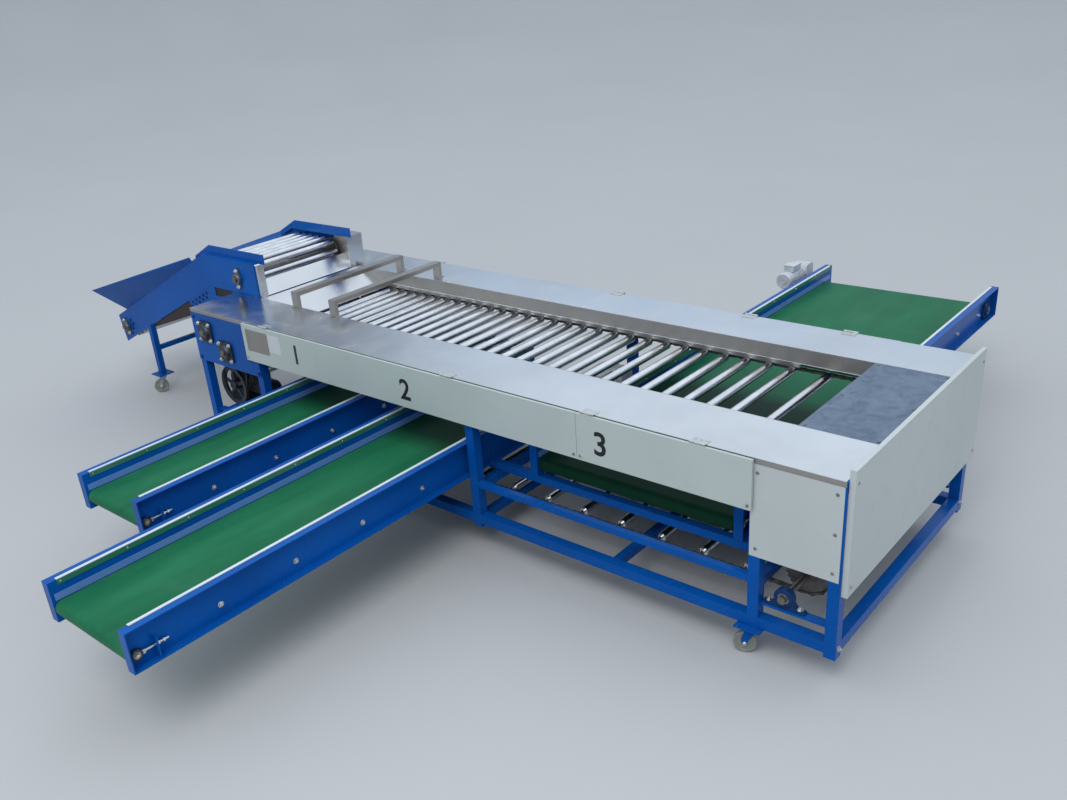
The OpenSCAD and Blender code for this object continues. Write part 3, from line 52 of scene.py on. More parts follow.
# The machine's own drawing corner: exit end, near side, foot of the posts
POSTS_LO, POSTS_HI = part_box("frame_posts")
ORIGIN = Vector((POSTS_HI[0], POSTS_LO[1], POSTS_LO[2]))

# Sizes in millimetres from that corner
FRAME_L = 4165
FRAME_W = 1426
FRAME_H = 797
TOP_Z = 800
SIDE_PLATE_T = 6
GUARD_FACE_Y = -20
SHAFT_R = 17.5
EXIT_X = -240
FEED_X = -3850
UPPER_Z = 574
LOWER_Z = 187
LAY = (-4030, 672)
HEAD = (-4115, 895)
SLOPE = math.radians(24.4)
BEND_X = -4400
SLOPE_RUN = 1399
TAIL = (BEND_X - SLOPE_RUN * math.cos(SLOPE), HEAD[1] - SLOPE_RUN * math.sin(SLOPE))
PLATE_SLOPE = 25.5
ELEVATOR_Y = (350, 1108)
ELEVATOR_T = 6
BED_R = 100
ELEVATOR_R = 74
CHANNEL_Z = 272
CHANNEL_H = 186
DRUM_Z = 332
WEB_FACE = 40
FLANGE = 45

# Conveyors: feed side x, exit side x, near end y, far end y; rollers' distances from the ends
CONVEYORS = [(-3349, -2808, -1267, 1236), (-2545, -1916, -1850, 1236), (-1679, -514, 190, 3512)]
TAIL_IN = 37
DRIVE_IN = 112


def at(x, y, z):
    """A point given in millimetres from the drawing corner."""
    return ORIGIN + Vector((x, y, z)) * MM


# Materials

class Nodes:
    """Short calls for the nodes of a material or of the sky."""

    def __init__(self, tree, coords):
        self.tree = tree
        self.coords = self.node("ShaderNodeTexCoord").outputs[coords]

    def node(self, kind, **values):
        made = self.tree.nodes.new(kind)
        for key, value in values.items():
            setattr(made, key, value)
        return made

    def link(self, a, b):
        self.tree.links.new(a, b)

    def along(self, axis):
        """The coordinate along one axis."""
        split = self.node("ShaderNodeSeparateXYZ")
        self.link(self.coords, split.inputs[0])
        return split.outputs[axis]

    def span(self, value, low, high):
        """0 to 1 as a value goes from low to high."""
        span = self.node("ShaderNodeMapRange")
        span.inputs["From Min"].default_value = low
        span.inputs["From Max"].default_value = high
        self.link(value, span.inputs["Value"])
        return span.outputs["Result"]

    def times(self, a, b):
        product = self.node("ShaderNodeMath", operation="MULTIPLY")
        self.link(a, product.inputs[0])
        self.link(b, product.inputs[1])
        return product.outputs[0]

    def ramp(self, fac, stops, steps=False):
        ramp = self.node("ShaderNodeValToRGB")
        if steps:
            ramp.color_ramp.interpolation = "CONSTANT"
        ramp.color_ramp.elements[0].position = stops[0][0]
        ramp.color_ramp.elements[0].color = (*stops[0][1], 1)
        ramp.color_ramp.elements[1].position = stops[-1][0]
        ramp.color_ramp.elements[1].color = (*stops[-1][1], 1)
        for place, color in stops[1:-1]:
            element = ramp.color_ramp.elements.new(place)
            element.color = (*color, 1)
        self.link(fac, ramp.inputs["Fac"])
        return ramp.outputs["Color"]

    def mix(self, fac, a, b):
        mix = self.node("ShaderNodeMix", data_type="RGBA")
        for value, socket in ((fac, mix.inputs[0]), (a, mix.inputs[6]), (b, mix.inputs[7])):
            if isinstance(value, bpy.types.NodeSocket):
                self.link(value, socket)
            elif isinstance(value, tuple):
                socket.default_value = (*value, 1)
            else:
                socket.default_value = value
        return mix.outputs[2]


class Shader(Nodes):
    """A node material on a Principled shader."""

    def __init__(self, name, color, rough, metal=0.0, specular=0.5):
        self.mat = bpy.data.materials.new(name)
        self.mat.use_nodes = True
        super().__init__(self.mat.node_tree, "Object")
        self.bsdf = self.tree.nodes["Principled BSDF"]
        self.bsdf.inputs["Base Color"].default_value = (*color, 1)
        self.bsdf.inputs["Roughness"].default_value = rough
        self.bsdf.inputs["Metallic"].default_value = metal
        self.bsdf.inputs["Specular IOR Level"].default_value = specular
        self.edge = None

    def stretched(self, stretch):
        mapping = self.node("ShaderNodeMapping")
        mapping.inputs["Scale"].default_value = stretch
        self.link(self.coords, mapping.inputs["Vector"])
        return mapping.outputs["Vector"]

    def noise(self, scale, detail=4, stretch=(1, 1, 1), rough=0.55, warp=0.0):
        tex = self.node("ShaderNodeTexNoise")
        tex.inputs["Scale"].default_value = scale
        tex.inputs["Detail"].default_value = detail
        tex.inputs["Roughness"].default_value = rough
        tex.inputs["Distortion"].default_value = warp
        self.link(self.stretched(stretch), tex.inputs["Vector"])
        return tex.outputs["Fac"]

    def cells(self, scale):
        tex = self.node("ShaderNodeTexVoronoi")
        tex.inputs["Scale"].default_value = scale
        self.link(self.coords, tex.inputs["Vector"])
        return tex.outputs["Color"]

    def mask(self, fac, low, high):
        return self.ramp(fac, [(low, (0, 0, 0)), (high, (1, 1, 1))])

    def part(self, share, mask):
        """A mask at a share of its strength."""
        return self.mix(share, (0, 0, 0), mask)

    def color(self, socket):
        self.link(socket, self.bsdf.inputs["Base Color"])

    def rough(self, fac, low, high):
        span = self.node("ShaderNodeMapRange")
        span.inputs["To Min"].default_value = low
        span.inputs["To Max"].default_value = high
        self.link(fac, span.inputs["Value"])
        self.link(span.outputs["Result"], self.bsdf.inputs["Roughness"])

    def soft_edges(self, radius):
        """Folded or cast edges catch the light over a radius in metres."""
        bevel = self.node("ShaderNodeBevel", samples=4)
        bevel.inputs["Radius"].default_value = radius
        self.edge = bevel.outputs["Normal"]

    def bump(self, height, strength, depth):
        bump = self.node("ShaderNodeBump")
        bump.inputs["Strength"].default_value = strength
        bump.inputs["Distance"].default_value = depth
        self.link(height, bump.inputs["Height"])
        if self.edge:
            self.link(self.edge, bump.inputs["Normal"])
        self.link(bump.outputs["Normal"], self.bsdf.inputs["Normal"])


def paint(name, light, dark, rough=0.26, specular=0.17, dust=(0.03, 0.07, 0.13), amount=0.12,
          tint=(0.25, 0.55, 1.0)):
    """Sprayed paint with slow tone changes, a film of dust and small chips."""
    shader = Shader(name, light, rough, specular=specular)
    shader.bsdf.inputs["Specular Tint"].default_value = (*tint, 1)
    shader.soft_edges(0.0015)
    slow = shader.mask(shader.noise(1.8, 3), 0.35, 0.68)
    tone = shader.mix(slow, light, dark)
    film = shader.mask(shader.noise(8, 8, rough=0.7, warp=0.6), 0.54, 0.78)
    dusty = shader.mix(shader.part(amount, film), tone, dust)
    chips = shader.mask(shader.noise(70, 3), 0.745, 0.77)
    shader.color(shader.mix(shader.part(0.3, chips), dusty, dust))
    shader.rough(film, rough, rough + 0.14)
    shader.bump(shader.noise(380, 2), 0.06, 0.0003)
    return shader.mat


def brushed(name, light, dark, rough, along=(1, 14, 14), streak=46):
    """Brushed sheet: fine streaks along one axis over slow clouds and faint smears."""
    shader = Shader(name, light, rough, metal=1.0)
    shader.soft_edges(0.0012)
    clouds = shader.mask(shader.noise(1.6, 4, rough=0.5, warp=0.4), 0.34, 0.68)
    streaks = shader.noise(streak, 4, stretch=along, rough=0.6)
    tone = shader.mix(clouds, light, dark)
    shader.color(shader.mix(0.16, tone, shader.ramp(streaks, [(0.3, dark), (0.7, light)])))
    smears = shader.mask(shader.noise(5, 6, rough=0.6, warp=0.8), 0.42, 0.74)
    shader.rough(smears, rough, rough + 0.10)
    shader.bump(streaks, 0.012, 0.0001)
    return shader.mat


def galvanised(name):
    """Zinc coating: blue-grey with angular spangle and dull stains."""
    shader = Shader(name, (0.12, 0.15, 0.20), 0.42, metal=0.85)
    spangle = shader.cells(34)
    grey = shader.ramp(spangle, [(0.1, (0.085, 0.125, 0.18)), (0.9, (0.135, 0.18, 0.245))])
    stains = shader.mask(shader.noise(7, 8, rough=0.65, warp=1.2), 0.42, 0.68)
    shader.color(shader.mix(shader.part(0.7, stains), grey, (0.25, 0.31, 0.39)))
    shader.rough(stains, 0.26, 0.46)
    shader.bump(spangle, 0.03, 0.0003)
    return shader.mat


def oily_steel(name, light=(0.15, 0.14, 0.125), dark=(0.035, 0.033, 0.031)):
    """Dark steel under grease, with dry rubbed places."""
    shader = Shader(name, light, 0.42, metal=0.6)
    grime = shader.mask(shader.noise(26, 7, rough=0.7), 0.38, 0.66)
    shader.color(shader.mix(grime, light, dark))
    shader.rough(grime, 0.34, 0.7)
    shader.bump(shader.noise(160, 4), 0.3, 0.0006)
    return shader.mat


def chrome_tube(name):
    """Polished tube with a light haze and faint rub marks round it."""
    shader = Shader(name, (0.80, 0.81, 0.82), 0.14, metal=1.0)
    haze = shader.noise(9, 5, rough=0.6)
    shader.color(shader.ramp(haze, [(0.3, (0.60, 0.61, 0.63)), (0.7, (0.78, 0.79, 0.81))]))
    shader.rough(haze, 0.16, 0.30)
    shader.bump(shader.noise(90, 2, stretch=(1, 0.2, 1)), 0.02, 0.0002)
    return shader.mat


# Metres outside and inside the long sides of the sizing bed over which the belts' painted shade fades in
SHADE_OUT = 0.06
SHADE_IN = 0.10


def belt_pvc(name):
    """Smooth green belting with scuffs and dust, and painted shade under the sizing bed."""
    shader = Shader(name, (0.012, 0.13, 0.06), 0.42, specular=0.07)
    scuffs = shader.noise(6, 6, stretch=(1, 0.2, 1), rough=0.6, warp=0.4)
    tone = shader.ramp(scuffs, [(0.3, (0.008, 0.105, 0.045)), (0.72, (0.018, 0.16, 0.072))])
    dust = shader.mask(shader.noise(2.5, 6, warp=0.8), 0.52, 0.82)
    dusty = shader.mix(shader.part(0.3, dust), tone, (0.07, 0.20, 0.12))
    # Painted shade: the belts turn darker between the long sides of the sizing bed, where the bed shades them from
    # above
    across = shader.along("Y")
    near, far = at(0, 0, 0).y, at(0, FRAME_W, 0).y
    bed_shade_mask = shader.times(shader.span(across, near - SHADE_OUT, near + SHADE_IN),
                             shader.span(across, far + SHADE_OUT, far - SHADE_IN))
    shade = shader.part(0.85, bed_shade_mask)
    shader.color(shader.mix(shade, dusty, (0.002, 0.022, 0.012)))
    shader.rough(scuffs, 0.34, 0.5)
    shader.bump(shader.noise(300, 2), 0.08, 0.0002)
    return shader.mat


def moulded(name, light, dark, rough=0.5):
    """Rubber or plastic with a slight grain and handling marks."""
    shader = Shader(name, light, rough, specular=0.4)
    marks = shader.noise(30, 6, rough=0.7)
    shader.color(shader.ramp(marks, [(0.3, dark), (0.7, light)]))
    shader.rough(marks, rough - 0.08, rough + 0.15)
    shader.bump(shader.noise(260, 3), 0.15, 0.0003)
    return shader.mat


def cast_metal(name, light, dark, rough=0.5, metal=0.8):
    """Sand-cast or die-cast metal with a pebbled skin."""
    shader = Shader(name, light, rough, metal=metal)
    shader.soft_edges(0.0012)
    grime = shader.noise(22, 7, rough=0.7)
    shader.color(shader.ramp(grime, [(0.32, dark), (0.68, light)]))
    shader.rough(grime, rough - 0.1, rough + 0.18)
    shader.bump(shader.noise(190, 4), 0.25, 0.0005)
    return shader.mat


# Heights of the skirt bands: blue strip below, green strip above it, bright bar on top
SKIRT_LOW = 0.48
SKIRT_SPAN = 0.12
GREEN_FROM = 0.545
BAR_FROM = 0.5885


def skirting(name):
    """Three strips on the inside of a channel, told apart by their height."""
    shader = Shader(name, (0.02, 0.16, 0.09), 0.3, specular=0.45)
    rise = shader.span(shader.along("Z"), SKIRT_LOW, SKIRT_LOW + SKIRT_SPAN)
    green_at = (GREEN_FROM - SKIRT_LOW) / SKIRT_SPAN
    bar_at = (BAR_FROM - SKIRT_LOW) / SKIRT_SPAN
    bands = shader.ramp(rise, [(0, (0.11, 0.22, 0.52)), (green_at, (0.03, 0.16, 0.095)),
                               (bar_at, (0.62, 0.66, 0.70))], steps=True)
    marks = shader.noise(7, 6, stretch=(1, 0.3, 1), warp=0.6)
    worn = shader.mask(marks, 0.45, 0.75)
    shader.color(shader.mix(shader.part(0.25, worn), bands, (0.24, 0.32, 0.42)))
    shader.rough(marks, 0.18, 0.42)
    shader.bump(shader.noise(240, 2), 0.06, 0.0002)
    return shader.mat


MATERIALS = {
    "blue_paint": paint("blue_paint", (0.002, 0.088, 0.37), (0.002, 0.068, 0.30)),
    "stainless": brushed("stainless", (0.68, 0.70, 0.72), (0.60, 0.61, 0.62), 0.20),
    "galvanised": galvanised("galvanised"),
    "panel_paint": paint("panel_paint", (0.49, 0.525, 0.515), (0.46, 0.495, 0.485), 0.36, 0.4,
                         (0.34, 0.37, 0.37), 0.2, (1, 1, 1)),
    "guard_paint": paint("guard_paint", (0.455, 0.51, 0.485), (0.43, 0.48, 0.455), 0.34, 0.4,
                         (0.33, 0.37, 0.36), 0.2, (1, 1, 1)),
    "chain_steel": oily_steel("chain_steel"),
    "roller_chrome": chrome_tube("roller_chrome"),
    "zinc": cast_metal("zinc", (0.72, 0.72, 0.70), (0.50, 0.50, 0.49), 0.26, 1.0),
    "bearing_iron": cast_metal("bearing_iron", (0.085, 0.095, 0.11), (0.03, 0.034, 0.042), 0.4),
    "motor_casting": cast_metal("motor_casting", (0.66, 0.68, 0.70), (0.50, 0.52, 0.55), 0.4, 0.3),
    "belt_black": moulded("belt_black", (0.035, 0.035, 0.036), (0.012, 0.012, 0.012)),
    "brown_paint": paint("brown_paint", (0.050, 0.037, 0.030), (0.032, 0.024, 0.020), 0.5),
    "belt_green": belt_pvc("belt_green"),
    "skirt": skirting("skirt"),
    "fork_zinc": cast_metal("fork_zinc", (0.42, 0.44, 0.44), (0.22, 0.24, 0.25), 0.4),
    "wheel_tread": moulded("wheel_tread", (0.27, 0.29, 0.25), (0.17, 0.185, 0.16), 0.55),
}
GUARD_STEEL = brushed("guard_steel", (0.46, 0.44, 0.41), (0.36, 0.34, 0.32), 0.46,
                      along=(14, 14, 1), streak=30)
SCREW_STEEL = cast_metal("screw_steel", (0.34, 0.33, 0.31), (0.20, 0.19, 0.18), 0.3, 1.0)
HOUSING_BLUE = paint("housing_blue", (0.006, 0.045, 0.16), (0.010, 0.030, 0.09), 0.34)
OVAL_CASTING = cast_metal("oval_casting", (0.20, 0.21, 0.22), (0.09, 0.10, 0.11), 0.36)
CROSSBAR_STEEL = brushed("crossbar_steel", (0.47, 0.43, 0.39), (0.36, 0.33, 0.30), 0.28)
PLATE_STEEL = brushed("plate_steel", (0.40, 0.37, 0.34), (0.30, 0.28, 0.26), 0.34)
LABEL_WHITE = moulded("label_white", (0.62, 0.63, 0.64), (0.54, 0.55, 0.56), 0.45)
NUMERAL_BLACK = moulded("numeral_black", (0.016, 0.016, 0.017), (0.010, 0.010, 0.011), 0.4)
BOLT_BLUE = paint("bolt_blue", (0.003, 0.045, 0.22), (0.002, 0.03, 0.15))
SHAFT_STEEL = cast_metal("shaft_steel", (0.30, 0.27, 0.24), (0.13, 0.12, 0.11), 0.38, 0.9)
RING_STEEL = cast_metal("ring_steel", (0.38, 0.38, 0.37), (0.16, 0.16, 0.16), 0.3, 1.0)
NODE_LOOKS = {"crossbars": CROSSBAR_STEEL, "side_guards": GUARD_STEEL}


def dress_nodes():
    """Gives every CAD node the material of its slot, or its own where it has one."""
    for part in frame["record"]["subparts"]:
        node = part["node"]
        look = NODE_LOOKS.get(node, MATERIALS[part["material_slot"]])
        materials = frame["nodes"][node].data.materials
        materials.clear()
        materials.append(SHAFT_STEEL if node.endswith("_shaft") else look)


# Mesh code

def new_object(name, data):
    made = bpy.data.objects.new(name, data)
    bpy.context.scene.collection.objects.link(made)
    return made


def on_axis(axis, along, u, v):
    """A point from its place along an axis and its two other coordinates in order."""
    return {"x": (along, u, v), "y": (u, along, v), "z": (u, v, along)}[axis]


def polar(center, radius, angle):
    """A point round a centre, at an angle in degrees."""
    a = math.radians(angle)
    return center[0] + radius * math.cos(a), center[1] + radius * math.sin(a)


def arc(center, radius, start, end, steps):
    """Points on an arc, in degrees."""
    return [polar(center, radius, start + (end - start) * i / steps) for i in range(steps + 1)]


def spun(points, center, turn):
    """Points turned by an angle in degrees and set round a centre."""
    c, s = math.cos(math.radians(turn)), math.sin(math.radians(turn))
    return [(center[0] + u * c - v * s, center[1] + u * s + v * c) for u, v in points]


def corners(half_u, half_v):
    """Offsets of a rectangle's four corners from its centre."""
    return [(u, v) for u in (-half_u, half_u) for v in (-half_v, half_v)]


def rounded(half_u, half_v, radius, center=(0, 0), turn=0, steps=5):
    """A rectangle with round corners, turned by an angle in degrees."""
    points = []
    for su, sv, start in ((1, 1, 0), (-1, 1, 90), (-1, -1, 180), (1, -1, 270)):
        corner = (su * (half_u - radius), sv * (half_v - radius))
        points += arc(corner, radius, start, start + 90, steps)
    return spun(points, center, turn)


class Build:
    """Gathers closed shapes, in millimetres from the drawing corner, into one piece."""

    def __init__(self):
        self.verts = []
        self.faces = []

    def add(self, verts, faces):
        start = len(self.verts)
        self.verts += verts
        self.faces += [tuple(start + i for i in face) for face in faces]

    def prism(self, outline, axis, low, high):
        """An outline pushed along an axis."""
        n = len(outline)
        verts = [on_axis(axis, s, u, v) for s in (low, high) for u, v in outline]
        sides = [(i, (i + 1) % n, n + (i + 1) % n, n + i) for i in range(n)]
        self.add(verts, sides + [tuple(range(n))[::-1], tuple(range(n, 2 * n))])

    def box(self, low, high):
        plan = [(low[0], low[1]), (high[0], low[1]), (high[0], high[1]), (low[0], high[1])]
        self.prism(plan, "z", low[2], high[2])

    def lathe(self, profile, axis, center, sides=28, sign=1, hollow=False):
        """A profile of radius and place along an axis, turned round that axis."""
        verts, rings = [], []
        for radius, place in profile:
            ring = []
            for i in range(sides if radius > 0 else 1):
                a = 2 * math.pi * i / sides
                offset = on_axis(axis, sign * place, radius * math.cos(a), radius * math.sin(a))
                ring.append(len(verts))
                verts.append(tuple(c + d for c, d in zip(center, offset)))
            rings.append(ring)
        faces = []
        pairs = list(zip(rings, rings[1:]))
        if hollow:
            pairs.append((rings[-1], rings[0]))
        for a, b in pairs:
            for i in range(sides):
                face = [a[i % len(a)], a[(i + 1) % len(a)], b[(i + 1) % len(b)], b[i % len(b)]]
                faces.append(tuple(dict.fromkeys(face)))
        if not hollow:
            faces += [tuple(ring) for ring in (rings[0], rings[-1]) if len(ring) > 2]
        self.add(verts, faces)

    def ring(self, profile, axis, center, sides=28, sign=1):
        """A closed profile that stays clear of the axis, turned round it."""
        self.lathe(profile, axis, center, sides, sign, hollow=True)

    def rod(self, axis, center, low, high, radius, sides=20):
        """A bar with lightly chamfered ends between two places along an axis."""
        edge = min(1.2, radius * 0.2)
        self.lathe([(radius - edge, low), (radius, low + edge), (radius, high - edge),
                    (radius - edge, high)], axis, center, sides)

    def piece(self, name, body, slot, replaces=(), look=None, bevel=0.0):
        mesh = bpy.data.meshes.new(name)
        mesh.from_pydata([at(*v) for v in self.verts], [], self.faces)
        shape = bmesh.new()
        shape.from_mesh(mesh)
        bmesh.ops.recalc_face_normals(shape, faces=shape.faces)
        shape.to_mesh(mesh)
        shape.free()
        mesh.polygons.foreach_set("use_smooth", [True] * len(mesh.polygons))
        mesh.set_sharp_from_angle(angle=math.radians(35))
        mesh.materials.append(look or MATERIALS[slot])
        made = new_object(name, mesh)
        if bevel:
            edges = made.modifiers.new("edges", "BEVEL")
            edges.width = bevel * MM
            edges.segments = 2
            edges.limit_method = "ANGLE"
            edges.angle_limit = math.radians(40)
            edges.harden_normals = True
        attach(made, body)
        if replaces:
            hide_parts(*replaces)


# Bearings and fixings, in millimetres: centres as (x, z), ovals with their angle in degrees
PILLOWS = ((EXIT_X, LOWER_Z), (EXIT_X, UPPER_Z), (FEED_X, LOWER_Z))
SQUARES = (LAY, (FEED_X, UPPER_Z))
OVALS = ((HEAD, 90), (TAIL, 90 + PLATE_SLOPE))
PILLOW_Y = 40
PILLOW_H = 50
PILLOW_FOOT = 14
PILLOW_BOLT = 68
FLANGE_BOLT = 50
FLANGE_T = 13
OVAL_BOLT = 50
NUT_R = 11
PLATE_BOLT_R = 9
SCREW_R = 7
FEED_PLATE_X = (25 - FRAME_L, -3560)
FEED_PLATE_Z = (490, 750)
CORNER_PANEL_Y = -2
CORNER_SCREWS = ((-357, 737), (-35, 737), (-357, 397), (-35, 397), (-35, 567))
COVER_SCREW_X = (-340, -35)
COVER_SCREW_Y = (358, 713, 1100)
END_PANEL_X = 23.6
END_PANEL_Y = (35, 1395)
END_PANEL_Z = (338, 785)
HINGES_X = (-3429, -1997, -1158, -616)
HINGE_Y = 20
HINGE_T = 2
HINGE_SCREW = 26
TAIL_BOLTS = ((52, 58), (78, 30), (66, -6))
POST_NUT_Y = 25
POST_NUT_Z = 45

# Rows along a conveyor: from its near end, short of its far end, and from one to the next
TIE_FIRST = 421
TIE_LAST = 178
TIE_PITCH = 381
SKIRT_FIRST = 55
SKIRT_LAST = 64
SKIRT_PITCH = 300
SKIRT_T = 3
SKIRT_SCREW_Z = CHANNEL_Z + CHANNEL_H - 12

# Bracket plate on the elevator: rows of bolts as shares of its height, with their first x
BRACKET_ROWS = ((0.33, -4712), (0.72, -4722))
BRACKET_BOLTS = 5
BRACKET_PITCH = 48
BRACKET_H = 68

# Elevator side plate: where its edges bend, its sloping length, and its lower front corner
UPPER_BREAK = (-4485, 1002)
LOWER_BREAK_X = -4450
PLATE_RUN = 1435
CHIN = (43, 196)


# Small hardware

def hex_bolt(build, point, axis, sign, radius):
    """Bolt head on a washer, its seat at a point and its head along sign."""
    thick = radius * 0.18
    high = thick + radius * 0.62
    build.lathe([(radius * 0.6, 0), (radius * 1.25, 0), (radius * 1.25, thick),
                 (radius * 0.6, thick)], axis, point, 20, sign)
    build.lathe([(radius * 0.9, thick), (radius, thick), (radius, high - 1), (radius * 0.86, high),
                 (0, high)], axis, point, 6, sign)


def stud_nut(build, point, axis, sign, radius):
    """Nut on a washer with the rounded end of its stud through it."""
    hex_bolt(build, point, axis, sign, radius)
    high = radius * 0.8
    build.lathe([(radius * 0.5, high), (radius * 0.5, high + radius * 0.4),
                 (radius * 0.3, high + radius * 0.55), (0, high + radius * 0.6)],
                axis, point, 12, sign)


def pan_screw(build, point, axis, sign, radius):
    """Domed screw head with a shallow dish for its recess."""
    build.lathe([(radius, 0), (radius, radius * 0.2), (radius * 0.8, radius * 0.5),
                 (radius * 0.4, radius * 0.62), (radius * 0.3, radius * 0.4), (0, radius * 0.35)],
                axis, point, 18, sign)


def both_sides(y):
    """The near side place and its mirror on the far side, each with its outward sign."""
    return [(y, -1), (FRAME_W - y, 1)]


def elevator_faces():
    """Outer faces of the two elevator side plates with their outward signs."""
    return [(ELEVATOR_Y[0] - ELEVATOR_T, -1), (ELEVATOR_Y[1] + ELEVATOR_T, 1)]


def webs(x0, x1):
    """Outer faces of a conveyor's two channel webs with their outward signs."""
    return [(x1 - WEB_FACE, 1), (x0 + WEB_FACE, -1)]


def under_z(x):
    """Height of the lower edge of the elevator side plates."""
    slope = math.radians(PLATE_SLOPE)
    chin_x = UPPER_BREAK[0] - PLATE_RUN * math.cos(slope) + CHIN[0]
    chin_z = UPPER_BREAK[1] - PLATE_RUN * math.sin(slope) - CHIN[1]
    return chin_z + (x - chin_x) * (FRAME_H - chin_z) / (LOWER_BREAK_X - chin_x)


def make_fasteners():
    """Every bolt and screw on the fixed frame and the conveyors."""
    bright = Build()
    painted = Build()
    screws = Build()
    for y, sign in both_sides(-SIDE_PLATE_T):
        for x, z in SQUARES:
            for dx, dz in corners(FLANGE_BOLT, FLANGE_BOLT):
                stud_nut(bright, (x + dx, y + sign * FLANGE_T, z + dz), "y", sign, NUT_R)
        for x in FEED_PLATE_X:
            for z in FEED_PLATE_Z:
                hex_bolt(painted, (x, y, z), "y", sign, PLATE_BOLT_R)
    for y, sign in both_sides(CORNER_PANEL_Y):
        for x, z in CORNER_SCREWS:
            pan_screw(screws, (x, y, z), "y", sign, SCREW_R)
    for y, sign in both_sides(PILLOW_Y):
        for x, z in PILLOWS:
            for dx in (-PILLOW_BOLT, PILLOW_BOLT):
                stud_nut(bright, (x + dx, y, z - PILLOW_H + PILLOW_FOOT), "z", 1, NUT_R)
    for y, _ in both_sides(HINGE_Y):
        for x in HINGES_X:
            for dx in (-HINGE_SCREW, 0, HINGE_SCREW):
                pan_screw(bright, (x + dx, y, TOP_Z + HINGE_T), "z", 1, 4)
    near_plate = ELEVATOR_Y[0] - ELEVATOR_T
    for share, start in BRACKET_ROWS:
        for i in range(BRACKET_BOLTS):
            x = start + BRACKET_PITCH * i
            hex_bolt(painted, (x, near_plate, under_z(x) - BRACKET_H * share), "y", -1, 8)
    for y in COVER_SCREW_Y:
        for x in COVER_SCREW_X:
            pan_screw(screws, (x, y, TOP_Z), "z", 1, SCREW_R)
    for y, sign in elevator_faces():
        for center, angle in OVALS:
            for d in (-OVAL_BOLT, OVAL_BOLT):
                x, z = polar(center, d, angle)
                stud_nut(bright, (x, y + sign * FLANGE_T, z), "y", sign, NUT_R)
        for dx, dz in TAIL_BOLTS:
            hex_bolt(painted, (TAIL[0] + dx, y, TAIL[1] + dz), "y", sign, PLATE_BOLT_R)
    for y in END_PANEL_Y:
        for z in END_PANEL_Z:
            pan_screw(screws, (END_PANEL_X, y, z), "x", 1, SCREW_R)
    for y, _ in both_sides(POST_NUT_Y):
        stud_nut(bright, (0, y, POST_NUT_Z), "x", 1, NUT_R)
    for x0, x1, y0, y1 in CONVEYORS:
        for x, sign in webs(x0, x1):
            for y in range(y0 + TIE_FIRST, y1 - TIE_LAST, TIE_PITCH):
                stud_nut(bright, (x, y, DRUM_Z), "x", sign, NUT_R)
        for x, sign in ((x0 + FLANGE + SKIRT_T, 1), (x1 - FLANGE - SKIRT_T, -1)):
            for y in range(y0 + SKIRT_FIRST, y1 - SKIRT_LAST, SKIRT_PITCH):
                pan_screw(bright, (x, y, SKIRT_SCREW_Z), "x", sign, 5)
    bright.piece("bolts", "frame", "zinc", ["fasteners"])
    painted.piece("painted_bolts", "frame", "blue_paint", look=BOLT_BLUE)
    screws.piece("panel_screws", "frame", "zinc", ["fasteners"], look=SCREW_STEEL)


# Bearings

TAKEUP_R = 24
ROD_L = 116


def make_pillow_blocks(rings):
    housing = Build()
    outline = [(-92, -50), (92, -50), (92, -41), (86, -37), (58, -35), (47, -22)]
    outline += arc((0, 0), 43, -18, 198, 22)
    outline += [(-47, -22), (-58, -35), (-86, -37), (-92, -41)]
    for y, sign in both_sides(PILLOW_Y):
        for x, z in PILLOWS:
            housing.prism([(x + u, z + v) for u, v in outline], "y", y - 14, y + 14)
            center = (x, y, z)
            housing.ring([(25, -18), (36, -18), (41, -14), (41, 14), (36, 18), (25, 18)],
                         "y", center, 40)
            housing.lathe([(4, 40), (4, 46), (2, 52), (0, 52)], "z", (x + 12, y, z), 10)
            inner_ring(rings, center, "y", sign, 18)
    housing.piece("pillow_housings", "frame", "blue_paint", ["bearings"], look=HOUSING_BLUE,
                  bevel=1.5)


def inner_ring(rings, center, axis, sign, face, shaft=SHAFT_R + 0.3):
    """Steel ring of a bearing insert round its shaft, with a set screw collar."""
    rings.ring([(shaft, face - 22), (25, face - 22), (25, face - 3), (shaft + 4, face - 3),
                (shaft + 4, face + 1), (shaft, face + 1)], axis, center, 36, sign)


def make_flange_bearings(rings):
    square = Build()
    oval = Build()
    for y, sign in both_sides(-SIDE_PLATE_T):
        for x, z in SQUARES:
            faces = sorted((y, y + sign * FLANGE_T))
            square.prism(rounded(65, 65, 17, (x, z)), "y", *faces)
            square.ring([(25, 6), (52, 6), (50, FLANGE_T + 4), (44, 24), (40, 31), (25, 31)],
                        "y", (x, y, z), 44, sign)
            inner_ring(rings, (x, y, z), "y", sign, 31)
    for y, sign in elevator_faces():
        for center, angle in OVALS:
            faces = sorted((y, y + sign * FLANGE_T))
            point = (center[0], y, center[1])
            oval.prism(rounded(67, 19, 18.9, center, angle, 8), "y", *faces)
            oval.ring([(25, 5), (37, 5), (36, FLANGE_T + 4), (34, 26), (31, 31), (25, 31)],
                      "y", point, 40, sign)
            inner_ring(rings, point, "y", sign, 31)
    square.piece("flange_housings", "frame", "bearing_iron", ["bearings"], bevel=1.5)
    oval.piece("oval_housings", "frame", "bearing_iron", ["bearings"], look=OVAL_CASTING,
               bevel=1.5)


